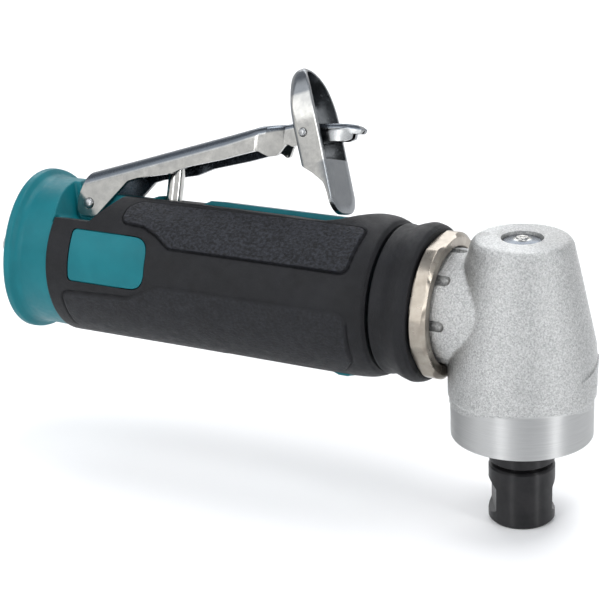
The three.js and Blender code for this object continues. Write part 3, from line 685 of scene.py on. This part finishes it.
def grip_overmould():
    rows, columns = 400, 540
    xs = np.linspace(GRIP_STATIONS[0][0], GRIP_STATIONS[-1][0], rows)
    angles = np.arange(columns) * 2 * math.pi / columns
    x, a = np.meshgrid(xs, angles, indexing="ij")
    off_top = np.abs(np.arctan2(np.sin(a), np.cos(a)))
    flat = np.stack([x.ravel(), np.degrees(off_top).ravel() * SPREAD], 1)
    upper = depth_inside(flat, UPPER_PANEL).reshape(x.shape)
    lower = depth_inside(flat, LOWER_PANEL).reshape(x.shape)
    radius = grip_radius(x, off_top)
    # the upper panel stands proud behind a groove; the lower one swells in from a soft upper edge
    groove = UPPER_GROOVE * np.exp(-(((upper + 0.14) / 0.20) ** 2))
    radius += UPPER_PROUD * smooth((upper + 0.02) / 0.38) - groove
    ends = 0.35 + smooth((-93 - x) / 8) + smooth((x + 40) / 3) * smooth((np.degrees(off_top) - 108) / 4)
    groove = LOWER_GROOVE * np.minimum(ends, 1) * np.exp(-(((lower + 0.12) / 0.26) ** 2))
    radius += LOWER_PROUD * smooth((lower + 0.1) / 0.8) - groove
    # rounded rear and front edges
    radius -= 0.55 * (1 - smooth((x - xs[0]) / 0.7)) ** 2
    radius -= 0.7 * (1 - smooth((xs[-1] - x) / 1.0)) ** 2
    panel = smooth(upper / 0.4) + 0.35 * smooth(lower / 0.8)
    rings = []
    for i in range(rows):
        ys, zs = radius[i] * np.sin(angles), radius[i] * np.cos(angles)
        rings.append([(xs[i], ys[k], zs[k]) for k in range(columns)])
    grip = skin("grip_overmould", rings)
    mask = grip.data.attributes.new("panel", "FLOAT", "POINT")
    mask.data.foreach_set("value", panel.astype(np.float32).ravel())
    cut(grip, rod("bore", CORE_R + 0.3, -130, -25, "X", segments=96))
    pocket = rounded(
        [(-132, EAR_FLOOR), (-111.4, EAR_FLOOR, 1.5), (-103.2, 19.4, 3), (-103.0, 30), (-132, 30)]
    )
    cut(grip, prism("pocket", pocket, -30, 30))
    cut(grip, box((-112, -BOSS_HALF - 0.3, 6), (-102.2, BOSS_HALF + 0.3, 24)))
    slot = rounded([(-87.8, -3.9, 1), (-45.6, -3.9, 1), (-45.6, 3.9, 1), (-87.8, 3.9, 1)])
    cut(grip, prism("top_slot", slot, 10, 26, "Z"))
    slot = rounded([(-76.4, -4.3, 1), (-40.2, -4.3, 1), (-40.2, 4.3, 1), (-76.4, 4.3, 1)])
    cut(grip, prism("low_slot", slot, -26, -10, "Z"))
    cut(grip, rod("stem_hole", STEM_ROOM, 8, 26, "Z", (STEM_X, 0, 0)))
    for side in (-1, 1):
        cut(grip, prism("window", inlay_outline(0), *sorted((side * 8, side * 26))))
    return finished(grip, "grip_overmould", HANDLE, sharp=38)


def inlay_outline(inset):
    """Side view of the plain inlay: small corners at the rear, two large ones at the front."""
    low, high = -6.2, 7.2
    rear, front, corner = -115.2, -92.2, 4.6
    return rounded([
        (rear + inset, low + inset, 1.2), (front - inset, low + inset, corner),
        (front - inset, high - inset, corner), (rear + inset, high - inset, 1.2),
    ], steps=8)


def side_inlays():
    profile = rounded([(CORE_R + 0.3, -118), (19.85, -118), (19.85, -90), (CORE_R + 0.3, -90)])
    for side, name in ((-1, "side_inlay_near"), (1, "side_inlay_far")):
        inlay = turned(name, profile, "X", 240)
        keep(inlay, prism("window", inlay_outline(0.22), *sorted((side * 10, side * 26))))
        finished(inlay, name, HANDLE)


def front_collar():
    profile = rounded([
        (14.4, -31.4), (18.45, -31.4, 0.7), (18.05, -29.6, 4), (18.15, -28.2, 4), (18.9, -26.2, 3),
        (19.4, -24.4, 2), (18.95, -22.6, 1.5), (18.2, -21.7, 0.5), (14.4, -21.7),
    ], steps=7)
    return finished(turned("front_collar", profile, "X", 180), "front_collar", HANDLE)


def lock_nut():
    """Hexagon nut whose chamfered turning is capped by its flats, with slightly eased corners."""
    flat, corner, ease = 16.75, 17.75, 0.10
    profile = rounded([
        (14.3, -21.4, 0.3), (17.1, -21.4, 0.2), (corner, -20.9, 0.2), (corner, -18.1, 0.2),
        (16.7, -17.2, 0.2), (14.6, -17.2, 0.2), (14.3, -17.5, 0.1),
    ], steps=3)
    rings = []
    for k in range(360):
        a = math.radians(k)
        off_flat = math.radians((k - 22.5 + 30) % 60 - 30)
        across = flat / math.cos(off_flat)
        capped = [0.5 * (r + across - math.hypot(r - across, ease)) for r, x in profile]
        rings.append([(x, -r * math.sin(a), r * math.cos(a)) for r, (_, x) in zip(capped, profile)])
    return finished(skin("lock_nut", rings, looped=True), "lock_nut", HANDLE, sharp=30)


def inlet_bushing():
    profile = rounded([
        (5.7, -142.6, 0.3), (10.4, -142.6, 0.4), (11.0, -142.0, 0.3), (11.0, REAR - 0.4),
        (8.8, REAR - 0.4), (8.8, -122.2), (7.0, -122.2), (7.0, -127.5), (5.4, -128.2),
    ], steps=3)
    bushing = turned("inlet_bushing", profile, "X", 160)
    hexagon = [polar(10.7, 60 * k) for k in range(6)]
    for k in range(9):  # the first turns of the pipe thread, as fine rings
        x = -142.0 + 1.3 * k
        cut(bushing, turned("thread", [(5.3, x - 0.45), (6.15, x), (5.3, x + 0.45)], "X", 96))
    collar = join(prism("hexagon", hexagon, -144, REAR - 0.3, "X"), rod("shank", 9.5, -141, -120, "X"))
    keep(bushing, collar)
    return finished(bushing, "inlet_bushing", HANDLE)


def exhaust_cover():
    rear, front = REAR + 0.4, REAR + 2.2
    outline = rounded([(11.4, rear, 0.2), (16.5, rear, 0.3), (16.5, front), (11.4, front)])
    cover = turned("exhaust_cover", outline, "X", 160)
    for k in range(12):
        spot = (0, *polar(13.95, 30 * k + 15))
        cut(cover, rod("hole", 1.25, REAR - 1, REAR + 4, "X", spot, 24))
    return finished(cover, "exhaust_cover", HANDLE)


# ---------------------------------------------------------------- throttle lever
LEVER_T = 1.2  # thickness of the sheet
# height of the top, half width, and outside radius of the bends, each against x
LEVER_TOP = ((-126, 19.6), (-106.4, 26.0), (-71.2, 37.7), (-64.2, 39.2), (-50.1, 40.5), (-45, 40.3))
LEVER_HALF = (
    (-126, 7.2), (-72.0, 7.2), (-69.6, 6.4), (-66.2, 3.1), (-58, 2.9), (-52, 2.8), (-48.5, 1.9), (-45, 1.5),
)
LEVER_BEND = ((-126, 3.4), (-80.0, 3.0), (-72.0, 2.5), (-68.0, 1.7), (-64.0, 1.3), (-46, 1.2))
PINCH = -72.0  # where the channel starts to narrow


def lever_ring(x, grow):
    """One section of the channel: outside if grow is 0, or inside by grow; open side down."""
    top = np.interp(x, *zip(*LEVER_TOP)) - grow
    half = np.interp(x, *zip(*LEVER_HALF)) - grow
    bend = max(0.35, np.interp(x, *zip(*LEVER_BEND)) - grow)
    side = [(half, 7.0)] + [(half, 7.0 + (top - bend - 7.0) * k / 4) for k in (1, 2, 3)]
    side.append((half, top - bend - 0.15))
    side += arc((half - bend, top - bend), bend, 0, 90, 8)
    ring = [(-y, z) for y, z in side] + [(y, z) for y, z in reversed(side)]
    return [(x, y, z) for y, z in ring]


def lever_painted_shade(x, y, z):
    """Painted shade and reflection: 1 inside the channel behind its narrowing, less on its top, bends and pinched
    end.
    """
    half = np.interp(x, *zip(*LEVER_HALF)) - 0.6 * LEVER_T
    top = np.interp(x, *zip(*LEVER_TOP))
    inside = (np.abs(y) < half) & (z < top - 0.6 * LEVER_T) & (x < -74)
    bend = 0.95 * smooth((z - top + np.interp(x, *zip(*LEVER_BEND)) + 0.1) / 0.3)
    pinched = 0.6 * smooth((x + 60) / 3)
    return np.where(inside, 1.0, np.maximum(bend, pinched))


def throttle_lever():
    narrowing = (-71.2, -69.6, -68, -66.2, -64.2)
    forward = (-62, -60, -58, -55, -52, -50.1, -48.5, -47, -45)
    stations = sorted({*np.linspace(-126, PINCH, 28), *narrowing, *forward})
    lever = skin("throttle_lever", [lever_ring(x, 0) for x in stations])
    inside = [x + LEVER_T * 0.4 if x > PINCH - 0.5 else x for x in stations]
    hollow = skin("hollow", [lever_ring(x, LEVER_T) for x in [-130, *inside]])
    cut(lever, shift(hollow, 0, 0, -0.001))
    cut(lever, box((-130, -6, 5), (-40, 6, 8)))
    side_view = rounded([
        (-117.8, 30), (-119.9, 22.0), (-122.4, 14.8, 3), (-122.3, 10.15, 3.3), (-116.7, 10.15, 2.6),
        (-107.9, 20.35, 1.6), (-105.0, 21.4, 1.5), (-95.3, 23.5, 5), (-90.6, 25.7, 5), (-80.4, 28.6, 6),
        (-71.4, 31.6, 2), (-68.6, 30.4, 0.8), (-67.2, 30.9, 0.8), (-65.6, 34.2, 1.2),
        (-63.6, 33.4, 1.0), (-62.0, 34.2, 1.0), (-56.0, 35.6, 3), (-50.4, 36.1, 0.8),
        (-48.6, 36.9, 1.0), (-48.6, 38.1, 0.2), (-46.4, 38.3, 0.6), (-45.8, 39.3, 0.5),
        (-47.0, 40.1, 0.6), (-49.0, 40.6), (-49.6, 44), (-116, 44),
    ], steps=6)
    keep(lever, prism("side_view", side_view, -12, 12))
    for side in (-1, 1):  # the crease where the end is pinched together
        crease = [(-60, 36.9), (-48.2, 39.5), (-48.2, 39.9), (-60, 37.5)]
        cut(lever, prism("crease", crease, *sorted((side * 2.1, side * 6))))
    cut(lever, rod("pivot_hole", 1.45, -12, 12, "Y", (PIVOT.x, 0, PIVOT.z), 48))
    cut(lever, rod("pin_hole", 1.15, -12, 12, "Y", (LOCK_PIN.x, 0, LOCK_PIN.z), 48))
    # painted shade and painted reflection on the lever
    mark(lever, "painted_shade", lever_painted_shade)
    return finished(lever, "throttle_lever", HANDLE, "lever", sharp=24)


def headed_pin(name, radius, half, at, body):
    """A pin with its ends peened over to low domes."""
    dome = arc((0, half - 0.3), (radius, 0.55), 0, 90, 6)
    profile = [(r, -h) for r, h in reversed(dome)] + dome
    pin = shift(turned(name, profile, "Y", 64), at.x, 0, at.z)
    # the whole pin made darker, half way towards the mask's dark colour
    mark(pin, "painted_shade", lambda x, y, z: np.full(len(x), 0.5))
    return finished(pin, name, HANDLE, body)


# ---------------------------------------------------------------- safety lock
LOCK_LEAN = 19.8  # degrees the lock leans back from square to the handle
LOCK_HALF = 6.5  # half its width
LOCK_T = 1.0  # thickness of the sheet
LOCK_FOOT = -21.3  # its lowest point, measured from its pin
SHELF = -7.6  # the deep dish above steps forward to the flat leg below
# how far forward the back and the rim lie, each against the height above the pin
LOCK_WEB = ((-30, -2.7), (-7, -2.7), (2.5, -2.8), (16.5, -2.6))
LOCK_RIM = ((-30, 4.3), (-3, 4.3), (8.2, 3.84), (12.8, 3.0), (15.6, 1.8), (16.5, 1.1))
LOCK_CROWN = (2.0, 14.5)  # the outline above this height is half an ellipse this tall


def lock_front_view(inset):
    """Front outline of the lock, from the right side over the top and down round the foot."""
    half = LOCK_HALF - inset
    foot = 4.6 - inset
    base, tall = LOCK_CROWN
    heel = LOCK_FOOT + inset + foot
    points = arc((0, base), (half, tall - inset), 0, 180, 48)
    down = [base + (heel - base) * k / 20 for k in range(1, 20)]
    points += [(-half, u) for u in down]
    points += arc((-half + foot, heel), foot, 180, 270, 10)
    points += arc((half - foot, heel), foot, 270, 360, 10)
    points += [(half, u) for u in reversed(down)]
    return points


def lock_body(name, inset, rim, proud=0.0):
    """The closed outside shape, or the same smaller by inset and open past the rim to hollow it."""
    outline = np.array(lock_front_view(inset))
    bend = 1.6 + 1.1 * smooth((outline[:, 1] - 6) / 9) - 0.6 * inset
    centre = np.stack([np.zeros(len(outline)), np.clip(outline[:, 1], LOCK_FOOT + 6.5, 6.0)], 1)
    away = outline - centre
    length = np.linalg.norm(away, axis=1)

    def ring(inward, from_rim, from_web, share):
        """Points pulled in by a distance, at a depth between the rim (share 1) and the web (0)."""
        spots = centre + away * np.clip(1 - inward / length, 0, 1)[:, None]
        front = curve_through(*zip(*LOCK_RIM), spots[:, 1]) + proud - from_rim
        web = curve_through(*zip(*LOCK_WEB), spots[:, 1]) + inset + from_web
        depth = front * share + web * (1 - share)
        return [(v, y, u) for v, (y, u) in zip(depth, spots)]

    nothing = np.zeros(len(outline))
    rings = [ring(rim + (length - rim) * share, 0.0, 0.0, 1.0) for share in (1.0, 0.8, 0.55, 0.3)]
    rings.append(ring(nothing + rim, 0.0, 0.0, 1.0))
    if rim:
        rings.append(ring(nothing + 0.3 * rim, 0.3 * rim, 0.0, 1.0))
    for share in (1.0, 0.95, 0.5, 0.05):  # the flat flange, with its ends held straight
        rings.append(ring(nothing, rim, bend, share))
    for k in range(9):
        a = math.pi / 2 * k / 8
        rings.append(ring(bend * (1 - math.cos(a)), 0.0, bend * (1 - math.sin(a)), 0.0))
    for share in (0.3, 0.55, 0.8, 1.0):
        rings.append(ring(bend + (length - bend) * share, 0.0, 0.0, 0.0))
    return skin(name, rings)


def lock_painted_shade(v, y, u):
    """Painted shade and reflection in the dish's hollow, on the leg's front, along the bends and rim, and at the
    top.
    """
    web = curve_through(*zip(*LOCK_WEB), u)
    rim = curve_through(*zip(*LOCK_RIM), u)
    deep = depth_inside(np.stack([y, u], 1), lock_front_view(0)) > 0.6 * LOCK_T
    inside = deep & (v > web + 0.6 * LOCK_T)
    leg_front = (u < SHELF - 0.5) & (v > 3.6)
    bends = 0.75 * (1 - smooth((v - web - 0.9) / 0.4)) + 0.6 * smooth((v - rim + 0.4) / 0.3)
    bends = np.maximum(bends, 0.75 * smooth((u - 9.0) / 0.8))
    return np.where(leg_front, 0.75, np.where(inside, 0.75, bends))


def safety_lock():
    lock = lock_body("safety_lock", 0.0, 0.3)
    side_view = rounded([
        (-6, 17), (-6, SHELF), (-2.9, SHELF + 0.4, 0.6), (-1.9, -8.2, 1.5), (0.4, -10.3, 2),
        (2.75, -13.2, 2.5), (3.15, -16.0, 2), (3.15, LOCK_FOOT - 1), (6, LOCK_FOOT - 1), (6, 17),
    ])
    keep(lock, prism("side_view", side_view, -9, 9))
    dish = lock_body("dish", LOCK_T, 0.0, 3.0)
    cut(dish, box((-9, -9, LOCK_FOOT - 3), (9, 9, SHELF)))
    cut(lock, dish)
    behind = prism("behind", lock_front_view(LOCK_T), -9, 3.15, "X")
    cut(behind, box((-30, -9, SHELF - 1.0), (30, 9, 20)))
    cut(lock, behind)
    window = rounded([(-3.8, -5.0, 0.8), (3.8, -5.0, 0.8), (3.8, 6.5, 0.8), (-3.8, 6.5, 0.8)])
    cut(lock, prism("window", window, -6, 0.2, "X"))
    hook_hole = rounded([(-1.4, -6.9), (1.4, -6.9), (1.4, -5.6), (-1.4, -5.6)], 0.3)
    cut(lock, prism("hook_hole", hook_hole, -6, 0.2, "X"))
    cut(lock, rod("pin_hole", 1.15, -9, 9, "Y", segments=48))
    # painted shade and painted reflection on the lock
    mark(lock, "painted_shade", lock_painted_shade)
    shift(turn(lock, -LOCK_LEAN, "Y"), LOCK_PIN.x, 0, LOCK_PIN.z)
    return finished(lock, "safety_lock", HANDLE, "lock", sharp=26)


def lock_spring():
    """Turns of the torsion spring on the pin, beside the lever's nose."""
    turns, wire, radius = 3.5, 0.28, 1.75
    curve = []
    for k in range(int(turns * 20) + 1):
        a = -math.pi / 2 + 2 * math.pi * k / 20
        curve.append(Vector((radius * math.cos(a), 0.3 + 0.62 * k / 20, radius * math.sin(a))))
    rings = []
    for k, centre in enumerate(curve):
        ahead = curve[min(k + 1, len(curve) - 1)] - curve[max(k - 1, 0)]
        ahead.normalize()
        side = ahead.cross(Vector((0, 1, 0))).normalized()
        up = side.cross(ahead)
        ring = []
        for j in range(10):
            b = 2 * math.pi * j / 10
            ring.append(centre + wire * (math.cos(b) * side + math.sin(b) * up))
        rings.append(ring)
    spring = shift(skin("lock_spring", rings), LOCK_PIN.x, 2.85, LOCK_PIN.z)
    return finished(spring, "lock_spring", HANDLE, "lever")


def valve_stem():
    profile = rounded([
        (0, 1.9), (1.6, 1.9), (2.1, 2.5), (2.1, 6.2), (1.6, 6.2), (1.6, 8.2), (2.1, 8.2),
        (2.1, 26.4, 0.8), (0, 27.3, 1.0),
    ])
    stem = shift(turned("valve_stem", profile, "Z", 64), STEM_X, 0, 0)
    finished(stem, "valve_stem", HANDLE, "stem")
    ferrule = rounded([(2.4, 5.4), (3.0, 5.4), (3.0, 16.2, 0.3), (2.4, 16.2, 0.2)], steps=3)
    bushing = shift(turned("stem_bushing", ferrule, "Z", 64), STEM_X, 0, 0)
    finished(bushing, "stem_bushing", HANDLE)


# ================================================================ HEAD
LOBE_SIDE = math.radians(-61)  # the camera's side, about the spindle: the turned band is tallest there
CAST_TOP = 19.3
RING_LOW = -29.5
NECK_POCKETS = 8
POCKET_END = -15.1  # where the round end of a neck pocket has its centre
SKIN_LINE, SKIN_RISE = -21.6, 3.4  # lower edge of the cast skin, and its rise in front and behind
STEP_LINE, STEP_RISE = -19.25, 0.9  # the same for the step down to the turned diameter


def front_lobe(x, y):
    """1 on the lobe's side and straight behind it, 0 square to it."""
    return 0.5 + 0.5 * np.cos(2 * (np.arctan2(y, x) - LOBE_SIDE))


def cast_head():
    """Casting with its side neck, skinned afresh so that every join has a cast fillet."""
    profile = rounded([
        (0, -24.0), (17.5, -24.0), (17.6, -9.6, 9), (17.3, -6.2, 6), (16.6, -3.0, 12), (14.35, 7.4, 14),
        (12.0, 18.0, 2.0), (11.0, CAST_TOP, 1.2), (0, CAST_TOP),
    ], steps=8)
    head = turned("angle_head", profile, "Z", 200)
    neck = [(0, -33.0), (14.05, -33.0), (14.05, -14), (14.4, -8, 4), (14.4, 0), (0, 0)]
    join(head, turned("neck", rounded(neck), "X", 160))
    soften(head, 0.33, 5)
    for k in range(NECK_POCKETS):
        groove = rod("groove", 1.3, -24, POCKET_END, "X", (0, 0, 14.0), 32)
        ball = shift(turned("ball", arc((0, 14.0), 1.3, -90, 90, 12), "Z", 32), POCKET_END, 0, 0)
        cut(head, turn(join(groove, ball), 360 / NECK_POCKETS * k, "X"))
    line = [(0, -20), (17.0, -20), (17.95, -18.6, 0.4), (17.95, -9.6), (17.6, -6.2), (17.0, -3.0), (0, -3.0)]
    pad = turned("pad", rounded(line), "Z", 200)
    wedge = prism("wedge", rounded([(-6.8, -12.2, 0.8), (7.0, -9.4, 0.8), (7.0, -17.9, 0.8)]), 10, 30, "X")
    join(head, keep(pad, turn(wedge, 2, "Z")))
    cut(head, turned("nut_room", [(14.0, -24), (14.0, -16.9), (20, -16.9), (20, -24)], "X", 160))
    cut(head, turned("recess", [(0, 18.0), (5.0, 18.0), (5.0, 21), (0, 21)], "Z", 96))
    cut(head, box((-40, -30, -30), (30, 30, -23.2)))
    bores = [(0, -31), (13.7, -31), (13.7, -26.6), (11.3, -26.6)]
    bores += [(11.3, 5.6), (8.3, 5.6), (8.3, 13.2), (0, 13.2)]
    cut(head, turned("bores", bores, "Z", 96))
    neck_bore = [(0, -40), (9.6, -40), (9.6, -31), (8.9, -31), (8.9, -8), (0, -8)]
    cut(head, turned("neck_bore", neck_bore, "X", 96))
    # trim the skirt to the lathe line, which stands higher in front and behind than at the sides
    work = bmesh.new()
    work.from_mesh(head.data)
    for vertex in work.verts:
        x, y, z = vertex.co
        out = math.hypot(x, y)
        if z < -16.0 and out > 14.5 and x > -17.0:
            step = STEP_LINE + STEP_RISE * front_lobe(x, y)
            full = 17.02 + 0.55 * float(smooth((z - step + 0.35) / 0.7))
            vertex.co.x *= full / out
            vertex.co.y *= full / out
    work.to_mesh(head.data)
    work.free()

    def cast_share(x, y, z):
        return smooth((z - SKIN_LINE - SKIN_RISE * front_lobe(x, y) + 0.15) / 0.3)

    mark(head, "cast", cast_share)
    return finished(head, "angle_head", HEAD, sharp=45)


def head_ring():
    """Lathe-turned ring below the casting."""
    profile = rounded([
        (13.7, -23.1), (17.0, -23.1), (17.0, RING_LOW + 0.05, 0.35), (13.7, RING_LOW + 0.05, 0.2),
    ], steps=4)
    ring = turned("head_ring", profile, "Z", 240)
    ring.data.attributes.new("cast", "FLOAT", "POINT")
    return finished(ring, "head_ring", HEAD, nodes=(), slot="cast_aluminium")


def grease_fitting():
    profile = rounded([
        (0, 15.2), (1.15, 15.2), (1.15, 18.3), (4.45, 18.3, 0.1), (4.45, 18.7, 0.15), (2.4, 18.95, 0.2),
        (1.6, 19.2, 0.2), (1.3, 19.6, 0.2), (0.5, 19.6, 0.1), (0.45, 19.3, 0.1), (0, 19.3),
    ], steps=3)
    fitting = turned("grease_fitting", profile, "Z", 96)
    # painted shade on the plate round the nipple, which sits down in its recess
    mark(fitting, "painted_shade", lambda x, y, z: smooth((np.hypot(x, y) - 1.7) / 0.5))
    return finished(fitting, "grease_fitting", HEAD)


def nose():
    """The spindle with its collar, the collet and its nut, and the cap round the spindle."""
    collar = rounded([
        (0, 12.8), (4.0, 12.8), (4.0, -9.6), (5.0, -10.0), (5.0, -27.2), (7.0, -27.4), (7.0, -30.2),
        (8.0, -30.4, 0.2), (8.0, -35.9, 0.2), (7.6, -36.2, 0.1), (5.9, -36.2), (5.9, -45.0),
        (4.9, -45.0), (4.9, -37.6), (3.4, -36.6), (3.4, -24.0), (0, -24.0),
    ], steps=3)
    finished(turned("spindle", collar, "Z", 128), "spindle", HEAD, "output_spindle")
    nut_line = rounded([
        (6.25, -37.2), (7.5, -37.2, 0.2), (8.0, -37.7, 0.2), (8.0, -51.2, 0.4), (7.3, -51.9, 0.3),
        (4.4, -51.9, 0.2), (4.4, -50.6), (5.7, -47.9), (5.7, -45.5), (6.25, -45.4),
    ], steps=4)
    nut = turned("collet_nut", nut_line, "Z", 192)
    flat = rounded([(9.5, -38.9), (6.75, -42.5, 0.6), (6.75, -48.2, 0.6), (9.5, -51.4)])
    for k in range(2):
        cut(nut, turn(prism("flat", flat, -9, 9), 30 + 180 * k, "Z"))
    finished(nut, "collet_nut", HEAD, "output_spindle", sharp=20)
    collet_line = rounded([
        (3.2, -38.4), (4.5, -38.4), (4.5, -45.4), (5.3, -46.6), (5.3, -47.6), (4.0, -50.2),
        (4.0, -51.2, 0.3), (3.2, -51.2, 0.2),
    ], steps=3)
    collet = turned("collet", collet_line, "Z", 96)
    for k in range(2):
        cut(collet, turn(box((-8, -0.3, -53), (8, 0.3, -41)), 90 * k + 15, "Z"))
    finished(collet, "collet", HEAD, "output_spindle")
    cap_line = rounded([(7.4, -26.9), (13.3, -26.9), (13.3, -29.4, 0.3), (7.4, -29.5, 0.2)], steps=3)
    cap = turned("bearing_cap", cap_line, "Z", 128)
    for side in (-1, 1):
        cut(cap, rod("spanner_hole", 1.0, -31, -28, "Z", (10.4 * side, 0, 0), 32))
    finished(cap, "bearing_cap", HEAD)


motor_housing()
core_and_rails()
grip_overmould()
side_inlays()
front_collar()
lock_nut()
inlet_bushing()
exhaust_cover()
throttle_lever()
headed_pin("lever_pivot_pin", 1.35, 7.75, PIVOT, "tool_body")
safety_lock()
headed_pin("lock_pin", 1.05, 7.0, LOCK_PIN, "lever")
lock_spring()
valve_stem()
cast_head()
head_ring()
grease_fitting()
nose()

# ---------------------------------------------------------------- floor, light and camera
FLOOR_HALF = 6  # metres
corners = [(x * FLOOR_HALF, y * FLOOR_HALF, FLOOR_Z) for x, y in ((-1, -1), (1, -1), (1, 1), (-1, 1))]
floor = make("floor", corners, [(0, 1, 2, 3)])
floor.data.materials.append(floor_paint())


def softbox(name, spot, aim, size, power):
    """A white rectangular light; spot and aim are metres from the crossing, size metres, power watts."""
    light = bpy.data.lights.new(name, "AREA")
    light.shape = "RECTANGLE"
    light.size, light.size_y = size
    light.energy = power
    obj = bpy.data.objects.new(name, light)
    obj.location = CROSSING + Vector(spot)
    obj.rotation_euler = (Vector(aim) - Vector(spot)).to_track_quat("-Z", "Y").to_euler()
    scene.collection.objects.link(obj)


softbox("key", (-0.45, -0.75, 0.8), (-0.05, 0, 0), (1.4, 0.9), 5.5)
softbox("left_strip", (-0.17, -0.88, 0.36), (0, 0, 0.1), (0.14, 0.8), 1.8)
softbox("right_strip", (0.87, -0.22, 0.36), (0, 0, 0.1), (0.14, 0.8), 2.8)
softbox("back", (-0.4, 0.8, 0.7), (0, 0, 0), (0.9, 0.5), 4.5)
softbox("top", (0.1, 0.15, 1.0), (0, 0, 0), (0.6, 0.4), 4.5)

world = bpy.data.worlds.new("studio")
scene.world = world
world.use_nodes = True
tree = world.node_tree
background = tree.nodes["Background"]
direction = tree.nodes.new("ShaderNodeTexCoord").outputs["Generated"]
split = tree.nodes.new("ShaderNodeSeparateXYZ")
ramp = tree.nodes.new("ShaderNodeValToRGB")
tree.links.new(direction, split.inputs[0])
tree.links.new(split.outputs["Z"], ramp.inputs["Fac"])
tree.links.new(ramp.outputs["Color"], background.inputs["Color"])
stops = ramp.color_ramp.elements
stops[0].position = 0.0
stops[0].color = (1.0, 1.0, 1.0, 1)
stops[1].position = 0.95
stops[1].color = (0.36, 0.38, 0.42, 1)
for spot, color in ((0.35, (0.97, 0.975, 0.98, 1)), (0.6, (0.48, 0.51, 0.56, 1))):
    stops.new(spot).color = color
background.inputs["Strength"].default_value = 1.0

CAMERA_SPOT = Vector((149.7, -374.6, 153.9)) * MM  # from the crossing of the two axes
AZIMUTH, ELEVATION, ROLL = (math.radians(v) for v in (29.14, 20.25, -2.40))
LENS = 110.2  # millimetres on a 36 mm sensor
level = math.cos(ELEVATION)
back = Vector((math.sin(AZIMUTH) * level, -math.cos(AZIMUTH) * level, math.sin(ELEVATION)))
right = Vector((math.cos(AZIMUTH), math.sin(AZIMUTH), 0))
up = back.cross(right)
level_right = math.cos(ROLL) * right + math.sin(ROLL) * up
level_up = back.cross(level_right)
camera = bpy.data.objects.new("camera", bpy.data.cameras.new("camera"))
camera.data.lens = LENS
camera.data.sensor_width = 36
camera.data.clip_start = 0.01
camera.data.clip_end = 50
facing = Matrix((level_right, level_up, back)).transposed().to_4x4()
camera.matrix_world = Matrix.Translation(CROSSING + CAMERA_SPOT) @ facing
scene.collection.objects.link(camera)
scene.camera = camera
scene.view_settings.view_transform = "Standard"
